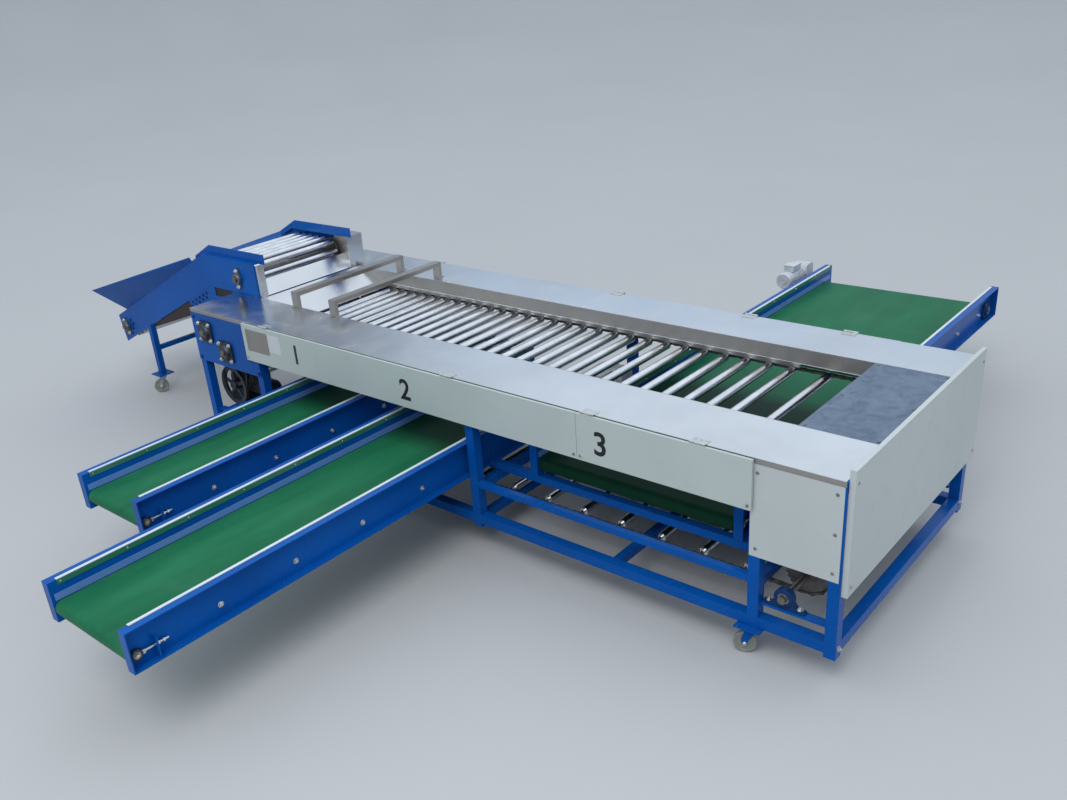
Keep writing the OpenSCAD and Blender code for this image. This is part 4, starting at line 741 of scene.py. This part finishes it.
def make_conveyor_bearings(rings):
    """Take-up bearings at the tail rollers, square units at the drive rollers."""
    dark = Build()
    bright = Build()
    painted = Build()
    for x0, x1, y0, y1 in CONVEYORS:
        for x, sign in webs(x0, x1):
            y = y0 + TAIL_IN
            point = (x + sign * 0.3, y, DRUM_Z)
            dark.ring([(14, 0), (23, 0), (24, 2), (24, 20), (22, 23), (17, 24), (14, 22)],
                      "x", point, 32, sign)
            for i in range(10):
                tooth = (x + sign * 12, *polar((y, DRUM_Z), 22.5, 36 * i))
                dark.rod("x", tooth, -9, 9, 3.2, 8)
            bright.ring([(10.4, 4), (13.8, 4), (13.8, 22), (10.4, 22)], "x", point, 24, sign)
            bright.lathe([(10, 24), (8, 26), (4, 26.5), (0, 26.5)], "x", point, 20, sign)
            rod_x = x + sign * (TAKEUP_R / 2 + 0.3)
            low = y + TAKEUP_R - 2
            bright.rod("y", (rod_x, low, DRUM_Z), 0, ROD_L, 5.4, 14)
            for i in range(int((ROD_L - 60) / 4)):
                bright.lathe([(5.4, 56 + 4 * i), (6.2, 57.2 + 4 * i), (5.4, 58.4 + 4 * i)],
                             "y", (rod_x, low, DRUM_Z), 14)
            for place in (66, 88):
                bright.lathe([(8, place), (11, place + 1), (11, place + 9), (8, place + 10)],
                             "y", (rod_x, low, DRUM_Z), 6)
            bright.box((rod_x - 5, low - 8, DRUM_Z - 9), (rod_x + 5, low + 14, DRUM_Z + 9))
            y = y1 - DRIVE_IN
            point = (x, y, DRUM_Z)
            faces = sorted((x, x + sign * 12))
            painted.prism(rounded(48, 48, 13, (y, DRUM_Z)), "x", *faces)
            painted.ring([(16, 6), (37, 6), (36, 15), (31, 22), (28, 27), (16, 27)],
                         "x", point, 36, sign)
            inner_ring(rings, point, "x", sign, 27, 10.3)
            for dy, dz in corners(36, 36):
                hex_bolt(painted, (x + sign * 12, y + dy, DRUM_Z + dz), "x", sign, 8)
    dark.piece("takeup_housings", "frame", "bearing_iron", ["bearings"], bevel=0.8)
    bright.piece("takeup_screws", "frame", "zinc", ["bearings"])
    painted.piece("drive_housings", "frame", "blue_paint", ["bearings"], look=HOUSING_BLUE,
                  bevel=0.8)


def make_bearings():
    rings = Build()
    make_pillow_blocks(rings)
    make_flange_bearings(rings)
    make_conveyor_bearings(rings)
    rings.piece("bearing_inserts", "frame", "zinc", ["bearings"], look=RING_STEEL)


# Chains

# Sprockets' centres and radii, and the room beyond these that teeth turn in
SPROCKETS = [((x, z), BED_R) for x in (EXIT_X, FEED_X) for z in (UPPER_Z, LOWER_Z)]
SPROCKETS += [(HEAD, ELEVATOR_R), (TAIL, ELEVATOR_R)]
TOOTH_ROOM = 20
BED_CHAIN_Y = (256, FRAME_W - 256)
ELEVATOR_CHAIN_Y = (ELEVATOR_Y[0] + 18, ELEVATOR_Y[1] - 18)
# Sizing run: its first roller, and the last one's distance from the exit shaft
FIRST_SIZING_X = -3581
LAST_GAP = 355
RETURN_ROLLERS = 25
# Pitch, half the width over the plates and radius of the link ends
BED_CHAIN = (48.3, 10, 8.6)
ELEVATOR_CHAIN = (23.25, 8, 6.6)


def bed_loop():
    """The bed chains' loop, from the exit end of the top run."""
    run = EXIT_X - FEED_X
    side = UPPER_Z - LOWER_Z
    r = BED_R
    quarter = math.pi * r / 2
    return [(quarter, EXIT_X, UPPER_Z, 90, -r), (side, EXIT_X + r, UPPER_Z, -90, 0),
            (quarter, EXIT_X, LOWER_Z, 0, -r), (run, EXIT_X, LOWER_Z - r, 180, 0),
            (quarter, FEED_X, LOWER_Z, -90, -r), (side, FEED_X - r, LOWER_Z, 90, 0),
            (quarter, FEED_X, UPPER_Z, 180, -r), (run, FEED_X, UPPER_Z + r, 0, 0)]


def elevator_loop():
    """The elevator chains' loop, from the head end of the top run."""
    r = ELEVATOR_R
    level = HEAD[0] - BEND_X
    slope = math.degrees(SLOPE)
    kink = r * math.tan(SLOPE / 2)
    lift = (-r * math.sin(SLOPE), r * math.cos(SLOPE))
    return [(level, HEAD[0], HEAD[1] + r, 180, 0), (r * SLOPE, BEND_X, HEAD[1], 90, r),
            (SLOPE_RUN, BEND_X + lift[0], HEAD[1] + lift[1], slope + 180, 0),
            (math.pi * r, *TAIL, slope + 90, r),
            (SLOPE_RUN - kink, TAIL[0] - lift[0], TAIL[1] - lift[1], slope, 0),
            (level - kink, BEND_X + kink, HEAD[1] - r, 0, 0), (math.pi * r, *HEAD, -90, r)]


def loop_length(loop):
    return sum(step[0] for step in loop)


def walk(loop, s):
    """Point s millimetres along a loop of steps: length, x, z, angle and radius.

    A straight run starts at x, z and has radius 0. A turn has its centre there, and a negative
    radius if it goes clockwise.
    """
    s %= loop_length(loop)
    for length, x, z, angle, radius in loop:
        if s <= length:
            if not radius:
                return polar((x, z), s, angle)
            return polar((x, z), abs(radius), angle + math.degrees(s / radius))
        s -= length
    return walk(loop, 0)


def link_outline(a, b, radius, waist):
    """Figure of a chain plate round its two pins."""
    angle = math.degrees(math.atan2(b[1] - a[1], b[0] - a[0]))
    middle = ((a[0] + b[0]) / 2, (a[1] + b[1]) / 2)
    return [*arc(a, radius, angle + 55, angle + 305, 6), polar(middle, -waist, angle + 90),
            *arc(b, radius, angle - 125, angle + 125, 6), polar(middle, waist, angle + 90)]


def near_teeth(point):
    """Whether a joint is on a sprocket: it has pin ends only, so that teeth turn freely."""
    return any(math.dist(point, center) < radius + TOOTH_ROOM for center, radius in SPROCKETS)


def make_chain(build, loop, y, pitch, half, radius):
    """Links round a loop: inner and outer plates by turns, with bushes and pins."""
    total = loop_length(loop)
    count = 2 * round(total / pitch / 2)
    step = total / count
    joints = [walk(loop, i * step) for i in range(count)]
    for i, a in enumerate(joints):
        b = joints[(i + 1) % count]
        outer = i % 2
        gap = half - (1.8 if outer else 4.0)
        for sign in (-1, 1):
            faces = sorted((y + sign * gap, y + sign * (gap + 1.6)))
            build.prism(link_outline(a, b, radius, radius * 0.62), "y", *faces)
        center = (a[0], y, a[1])
        if near_teeth(a):
            for low, high in ((-half - 0.6, 2.4 - half), (half - 2.4, half + 0.6)):
                build.rod("y", center, low, high, radius * 0.28, 8)
        else:
            build.rod("y", center, 4.2 - half, half - 4.2, radius * 0.62, 12)
            build.rod("y", center, -half - 0.6, half + 0.6, radius * 0.28, 8)


def make_chains():
    links = Build()
    for y in BED_CHAIN_Y:
        make_chain(links, bed_loop(), y, *BED_CHAIN)
    for y in ELEVATOR_CHAIN_Y:
        make_chain(links, elevator_loop(), y, *ELEVATOR_CHAIN)
    links.piece("chain_links", "frame", "chain_steel", ["roller_chains"])
    pins = Build()
    idle = loop_length(bed_loop()) - (EXIT_X - FIRST_SIZING_X) + LAST_GAP
    for i in range(RETURN_ROLLERS):
        x, z = walk(bed_loop(), i * idle / RETURN_ROLLERS - LAST_GAP)
        for y, sign in both_sides(BED_CHAIN_Y[0] - 10):
            hex_bolt(pins, (x, y, z), "y", sign, 7)
    pins.piece("roller_pin_nuts", "frame", "zinc")


# Motors and the V pulley

GEARBOX_X = (-2747, -1855, -1860)
CASE_W = 120
CASE_Z = CHANNEL_Z + 112
WORM_Z = CHANNEL_Z + 158
MOTOR_R = 58
TERMINALS = 165
BED_CASE_Y = (116, 228)
BED_CASE_Z = 251
BED_MOTOR_Y = 178
PULLEY = (-3990, 295)
PULLEY_Y = 90


def fins(center, radius, count, depth):
    """Outline of a finned motor body."""
    points = []
    for i in range(count):
        a = 360 * i / count
        w = 360 / count
        points += arc(center, radius, a - w * 0.16, a + w * 0.16, 1)
        points += arc(center, radius - depth, a + w * 0.28, a + w * 0.72, 1)
    return points


def make_motor(build, axis, center, start, length, sign, radius):
    """Motor with end bell, finned barrel and a fan cover with rings on its grille."""
    others = [c for a, c in zip("xyz", center) if a != axis]
    base = dict(zip("xyz", center))[axis]
    low, high = sorted((base + sign * (start + 22), base + sign * (start + length - 58)))
    build.lathe([(radius, start), (radius, start + 14), (radius - 5, start + 22), (0, start + 22)],
                axis, center, 40, sign)
    build.prism(fins(others, radius, 30, 7), axis, low, high)
    end = start + length
    build.lathe([(0, end - 60), (radius - 4, end - 60), (radius - 1, end - 56),
                 (radius - 1, end - 12), (radius - 9, end - 2), (radius - 18, end - 2),
                 (radius - 18, end - 4), (0, end - 4)], axis, center, 40, sign)
    for r in (12, 21, 30):
        bead = [(r - 2.5, end - 4.5), (r - 2.5, end - 1), (r + 2.5, end - 1), (r + 2.5, end - 4.5)]
        build.ring(bead, axis, center, 32, sign)


def make_worm_box(build, bolts, x0, y, free):
    """Worm gearbox on a drive roller: case, ribs, output covers and input flange.

    The cover on the free side, -1 or 1, has bolts.
    """
    case = (y, CASE_Z)
    mid = x0 + CASE_W / 2
    build.prism(rounded(56, 104, 26, case), "x", x0 + 8, x0 + CASE_W - 8)
    for x, way in ((x0 + 8, -1), (x0 + CASE_W - 8, 1)):
        build.ring([(10.6, 0), (52, 0), (50, 5), (38, 8), (10.6, 8)], "x", (x, y, DRUM_Z), 36, way)
        if way == free:
            for i in range(4):
                point = (x + way * 5, *polar((y, DRUM_Z), 44, 45 + 90 * i))
                hex_bolt(bolts, point, "x", way, 5)
    for dx in (-34, 0, 34):
        build.prism(rounded(59, 107, 24, case), "x", mid + dx - 3, mid + dx + 3)
    build.lathe([(0, 50), (60, 50), (62, 54), (62, 60), (0, 60)], "y", (mid, y, WORM_Z), 40, -1)


def make_gearmotors():
    cast = Build()
    bright = Build()
    for (x0, _, _, y1), case_x in zip(CONVEYORS, GEARBOX_X):
        y = y1 - DRIVE_IN
        mid = case_x + CASE_W / 2
        terminals = (mid, y - TERMINALS)
        make_worm_box(cast, bright, case_x, y, -1 if case_x < x0 else 1)
        make_motor(cast, "y", (mid, y, WORM_Z), 60, 240, -1, MOTOR_R)
        cast.prism(rounded(38, 54, 6, terminals), "z", WORM_Z + 48, WORM_Z + 82)
        cast.prism(rounded(40, 55, 7, terminals), "z", WORM_Z + 83, WORM_Z + 90)
        for dx, dy in corners(32, 46):
            pan_screw(bright, (mid + dx, y - TERMINALS + dy, WORM_Z + 90), "z", 1, 3.5)
    cast.piece("conveyor_gearmotors", "frame", "motor_casting", ["gearmotors"], bevel=1.2)
    bright.piece("gearmotor_screws", "frame", "zinc", ["gearmotors"])
    dark = Build()
    x, z = PULLEY
    dark.prism(rounded(66, 112, 18, (x, BED_CASE_Z)), "y", *BED_CASE_Y)
    dark.ring([(14.5, 0), (56, 0), (60, 4), (60, 10), (14.5, 10)],
              "y", (x, BED_CASE_Y[0] - 3, z), 36)
    rib = (sum(BED_CASE_Y) / 2, BED_CASE_Z)
    dark.prism(rounded(58, 104, 16, rib), "x", x - 70, x + 70)
    make_motor(dark, "x", (x, BED_MOTOR_Y, z), 70, 220, 1, MOTOR_R)
    dark.prism(rounded(50, 34, 6, (x + 170, BED_MOTOR_Y)), "z", z + 50, z + 88)
    dark.piece("bed_gearmotor", "frame", "bearing_iron", ["gearmotors"], bevel=1.2)


def make_pulley():
    """Large V pulley: grooved rim, five spokes, hub and its shaft."""
    wheel = Build()
    x, z = PULLEY
    center = (x, PULLEY_Y, z)
    wheel.ring([(125, -12), (125, -8), (113.5, -5), (113.5, 5), (125, 8), (125, 12), (100, 12),
                (98, 8), (98, -8), (100, -12)], "y", center, 64)
    wheel.ring([(14, -20), (26, -20), (30, -16), (30, 12), (14, 12)], "y", center, 36)
    for i in range(5):
        spoke = spun(((24, -13), (103, -9), (103, 9), (24, 13)), PULLEY, 72 * i + 20)
        wheel.prism(spoke, "y", PULLEY_Y - 5, PULLEY_Y + 5)
    wheel.rod("y", (x, 0, z), 70, 162, 13.9, 24)
    wheel.piece("spoked_pulley", "drive_pulley", "bearing_iron", ["drive_pulley"], bevel=0.8)


# Casters

FORK_NAMES = ("exit_near", "exit_far", "feed_near", "feed_far", "elevator_near", "elevator_far")
TRAIL = 28
AXLE_Z = -80
FORK_HALF = 22


def caster_points():
    """Pivot and wheel centre of each caster, read from the frame."""
    for name in FORK_NAMES:
        low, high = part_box("wheel_" + name)
        wheel = ((low + high) / 2 - ORIGIN) / MM
        joint = next(j for j in frame["joints"] if j["name"] == "swivel_" + name)
        pivot = (Vector(joint["pos_m"]) - ORIGIN) / MM
        yield name, pivot, wheel


def turned(verts, pivot, angle):
    """Points of a caster's own frame, moved to its pivot and turned about the upright."""
    c, s = math.cos(angle), math.sin(angle)
    return [(pivot.x + x * c - y * s, pivot.y + x * s + y * c, z) for x, y, z in verts]


def make_caster(name, pivot, wheel):
    angle = math.atan2(wheel.y - pivot.y, wheel.x - pivot.x)
    fork = Build()
    fork.ring([(6.3, 8.4), (30, 8.4), (32, 6), (32, 3), (27, 1), (27, -3), (22, -6), (6.3, -6)],
              "z", (0, 0, 0), 36)
    for side in (-1, 1):
        faces = sorted((side * (FORK_HALF - 3.5), side * FORK_HALF))
        outline = [(-25, 3), (-24, -8), (12, -62), (17, -79)]
        outline += arc((TRAIL, AXLE_Z), 12, 180, 360, 8)
        outline += [(44, -62), (27, -8), (26, 3)]
        fork.prism(outline, "y", *faces)
    fork.box((-24, -20, -1), (25, 20, 2.5))
    axle = Build()
    axle.rod("y", (TRAIL, 0, AXLE_Z), -25, 25, 4.8, 16)
    for side in (-1, 1):
        hex_bolt(axle, (TRAIL, side * FORK_HALF, AXLE_Z), "y", side, 8)
    rim = Build()
    half = 16
    rim.ring([(13, -half + 1), (13, half - 1), (19, half - 1), (22, 11), (37, 11), (40, half - 2),
              (47, half - 2), (50, half - 6), (50, 6 - half), (47, 2 - half), (40, 2 - half),
              (37, -11), (22, -11), (19, 1 - half)], "y", (TRAIL, 0, AXLE_Z), 44)
    hub = Build()
    hub.ring([(5.2, -half + 0.5), (5.2, half - 0.5), (12.9, half - 0.5), (12.9, 0.5 - half)],
             "y", (TRAIL, 0, AXLE_Z), 28)
    for build in (fork, axle, rim, hub):
        build.verts = turned(build.verts, pivot, angle)
    slot = "blue_paint" if name == "exit_near" else "fork_zinc"
    fork.piece("caster_fork_" + name, "fork_" + name, slot, ["fork_" + name], bevel=0.8)
    axle.piece("caster_axle_" + name, "fork_" + name, "zinc", ["fork_" + name])
    rim.piece("caster_tread_" + name, "wheel_" + name, "wheel_tread", ["wheel_" + name])
    hub.piece("caster_hub_" + name, "wheel_" + name, "zinc", ["wheel_" + name])


# Guards and chute

GUARD_SPANS = (("feed", -3630, -1217), ("exit", -1217, -370))
GUARD_SCREW_IN = 18
GUARD_SCREW_Z = 592
TRIM_X = ((-4164, -3637), (-383, -3))
TRIM_Y = -3.1
TRIM_T = 0.6
TRIM_Z = (777, 799)
SHEET_EDGE_Y = (341, 1117)
LIP_X = (-3900, -380)
LIP_Z = 721
LINER_GAP = 0.9
LINER = [(-4090, 905), (-3947, 818), (-3947, 990), (-4072, 990), (-4090, 972)]


def make_edge_trims():
    """Brushed faces of the top sheets' folded edges where no guard hides them, in the guards' darker, browner
    steel rather than the sheets' stainless: a painted brownish reflection.
    """
    trims = Build()
    for y, sign in both_sides(TRIM_Y):
        for x0, x1 in TRIM_X:
            faces = sorted((y, y + sign * TRIM_T))
            trims.box((x0, faces[0], TRIM_Z[0]), (x1, faces[1], TRIM_Z[1]))
    # The darker, browner steel on the sheets' folded faces is a painted brownish reflection
    trims.piece("edge_trims", "frame", "stainless", look=GUARD_STEEL)


def make_guard_screws():
    """Two screws low on each hinged guard, moving with it."""
    for side, (y, sign) in zip(("near", "far"), both_sides(GUARD_FACE_Y)):
        for end, x0, x1 in GUARD_SPANS:
            guard = f"guard_{side}_{end}"
            screws = Build()
            for x in (x0 + GUARD_SCREW_IN, x1 - GUARD_SCREW_IN):
                pan_screw(screws, (x, y, GUARD_SCREW_Z), "y", sign, SCREW_R)
            screws.piece(guard + "_screws", guard, "zinc", look=SCREW_STEEL)


def make_guard_lips():
    """Rounded folded lips along the lower edges of the two side guards, in bright stainless rather than the
    guards' darker steel: a painted highlight along the fold.
    """
    lips = Build()
    for y, sign in zip(SHEET_EDGE_Y, (1, -1)):
        lips.prism(rounded(2.4, 2.6, 1.6, (y + sign * 2, LIP_Z + 2.6)), "x", *LIP_X)
    # The bright stainless on the lips is a painted highlight along the guards' lower fold
    lips.piece("guard_lips", "frame", "stainless")


def make_chute_liners():
    """Thin stainless cheeks lining the elevator plates beside its head rollers."""
    liners = Build()
    for y in (ELEVATOR_Y[0] + LINER_GAP, ELEVATOR_Y[1] - LINER_GAP):
        liners.prism(LINER, "y", y - 0.6, y + 0.6)
    liners.piece("chute_liners", "frame", "stainless", look=GUARD_STEEL)


# Markings on the near guards: centres as (x, z)

NUMERALS = (("1", -3149, 686, "guard_near_feed"), ("2", -2290, 664, "guard_near_feed"),
            ("3", -1089, 669, "guard_near_exit"))
NAMEPLATE = (-3496, 704)
LABEL = (-3336, 716)


def make_numeral(text, x, z, body):
    """A bold plain numeral on the outer face of a guard."""
    curve = bpy.data.curves.new("numeral_" + text, "FONT")
    curve.body = text
    curve.size = 0.155
    curve.extrude = 0.0002
    curve.offset = 0.0028
    curve.align_x = "CENTER"
    curve.align_y = "CENTER"
    source = new_object("numeral_source", curve)
    bpy.context.view_layer.update()
    mesh = bpy.data.meshes.new_from_object(source)
    bpy.data.objects.remove(source)
    stand = Matrix.Rotation(math.radians(90), 4, "X")
    mesh.transform(Matrix.Translation(at(x, GUARD_FACE_Y - 0.3, z)) @ stand)
    mesh.materials.clear()
    mesh.materials.append(NUMERAL_BLACK)
    made = new_object("numeral_" + text, mesh)
    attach(made, body)


def make_plates():
    """Blank metal nameplate with its rivets, and a blank white label beside it."""
    plate = Build()
    plate.prism(rounded(101, 65, 4, NAMEPLATE), "y", GUARD_FACE_Y - 1.2, GUARD_FACE_Y)
    plate.piece("nameplate", "guard_near_feed", "stainless", look=PLATE_STEEL, bevel=0.3)
    rivets = Build()
    for dx, dz in corners(94, 58):
        point = (NAMEPLATE[0] + dx, GUARD_FACE_Y - 1.2, NAMEPLATE[1] + dz)
        pan_screw(rivets, point, "y", -1, 3)
    rivets.piece("nameplate_rivets", "guard_near_feed", "zinc")
    label = Build()
    label.prism(rounded(52, 52, 2, LABEL), "y", GUARD_FACE_Y - 0.4, GUARD_FACE_Y)
    label.piece("blank_label", "guard_near_feed", "panel_paint", look=LABEL_WHITE)


# Stage: radius and height in metres of the rings of the floor and its wall

WALL = ((13, 0), (16, 0.25), (18.5, 1.2), (20, 3), (20.6, 5.2))


def make_stage():
    """A pale floor that curves up into a low wall all round."""
    sides = 96
    shape = bmesh.new()
    rings = []
    for radius, z in WALL:
        rings.append([shape.verts.new((*polar((0, 0), radius, 360 * i / sides), z))
                      for i in range(sides)])
    shape.faces.new(rings[0])
    for a, b in zip(rings, rings[1:]):
        for i in range(sides):
            shape.faces.new((a[i], a[(i + 1) % sides], b[(i + 1) % sides], b[i]))
    mesh = bpy.data.meshes.new("floor")
    bmesh.ops.recalc_face_normals(shape, faces=shape.faces)
    shape.to_mesh(mesh)
    shape.free()
    mesh.polygons.foreach_set("use_smooth", [True] * len(mesh.polygons))
    floor = new_object("floor", mesh)
    shader = Shader("floor_paint", (0.47, 0.47, 0.47), 0.85, specular=0.2)
    grain = shader.noise(0.5, 5)
    shader.color(shader.ramp(grain, [(0.3, (0.465, 0.465, 0.465)), (0.7, (0.48, 0.48, 0.48))]))
    mesh.materials.append(shader.mat)


# Sky from 0 straight down to 1 straight up: the wall's own tone, then cool light above it
SKY = ((0.5, (0.46, 0.48, 0.51)), (0.60, (0.46, 0.48, 0.51)), (0.62, (0.54, 0.70, 0.92)),
       (0.67, (0.56, 0.72, 0.94)), (0.70, (1.0, 1.10, 1.22)))
# Dim patch behind the feed end: directions it lies along, and where it starts and is full
DIM_SIDES = (((-0.656, -0.755, 0), -0.10, 0.08), ((-0.342, 0.940, 0), 0.0, 0.25),
             ((0, 0, -1), -0.50, -0.38))
DIM = (0.20, 0.235, 0.30)
SKY_STRENGTH = 0.95
KEY_PLACE = Vector((3.5, -6.0, 8.0))
KEY_TARGET = Vector((0, 0, 0.6))


def make_sky():
    world = bpy.data.worlds.new("sky")
    bpy.context.scene.world = world
    world.use_nodes = True
    sky = Nodes(world.node_tree, "Generated")
    tone = sky.ramp(sky.span(sky.along("Z"), -1, 1), SKY)
    shade = None
    for direction, start, full in DIM_SIDES:
        dot = sky.node("ShaderNodeVectorMath", operation="DOT_PRODUCT")
        dot.inputs[1].default_value = direction
        sky.link(sky.coords, dot.inputs[0])
        edge = sky.span(dot.outputs["Value"], start, full)
        shade = edge if shade is None else sky.times(shade, edge)
    background = sky.tree.nodes["Background"]
    sky.link(sky.mix(shade, tone, DIM), background.inputs["Color"])
    background.inputs["Strength"].default_value = SKY_STRENGTH


def make_lights():
    """A large soft key light and the sky."""
    data = bpy.data.lights.new("key", "AREA")
    data.energy = 300
    data.shape = "DISK"
    data.size = 5.0
    data.color = (1.0, 0.99, 0.97)
    lamp = new_object("key", data)
    lamp.location = KEY_PLACE
    lamp.rotation_euler = (KEY_TARGET - KEY_PLACE).to_track_quat("-Z", "Y").to_euler()
    make_sky()
    bpy.context.scene.view_settings.view_transform = "Standard"


def make_camera():
    """The photograph's camera, solved from its straight edges."""
    data = bpy.data.cameras.new("camera")
    data.lens = 33.995
    data.sensor_width = 36
    data.shift_x = 0.01346
    data.shift_y = 0.03076
    camera = new_object("camera", data)
    camera.location = (4.118, -3.955, 2.719)
    camera.rotation_euler = [math.radians(a) for a in (64.633, 4.126, 39.970)]
    bpy.context.scene.camera = camera


dress_nodes()
make_fasteners()
make_bearings()
make_chains()
make_gearmotors()
make_pulley()
for caster in caster_points():
    make_caster(*caster)
for numeral in NUMERALS:
    make_numeral(*numeral)
make_plates()
make_guard_screws()
make_chute_liners()
make_guard_lips()
make_edge_trims()
make_stage()
make_lights()
make_camera()
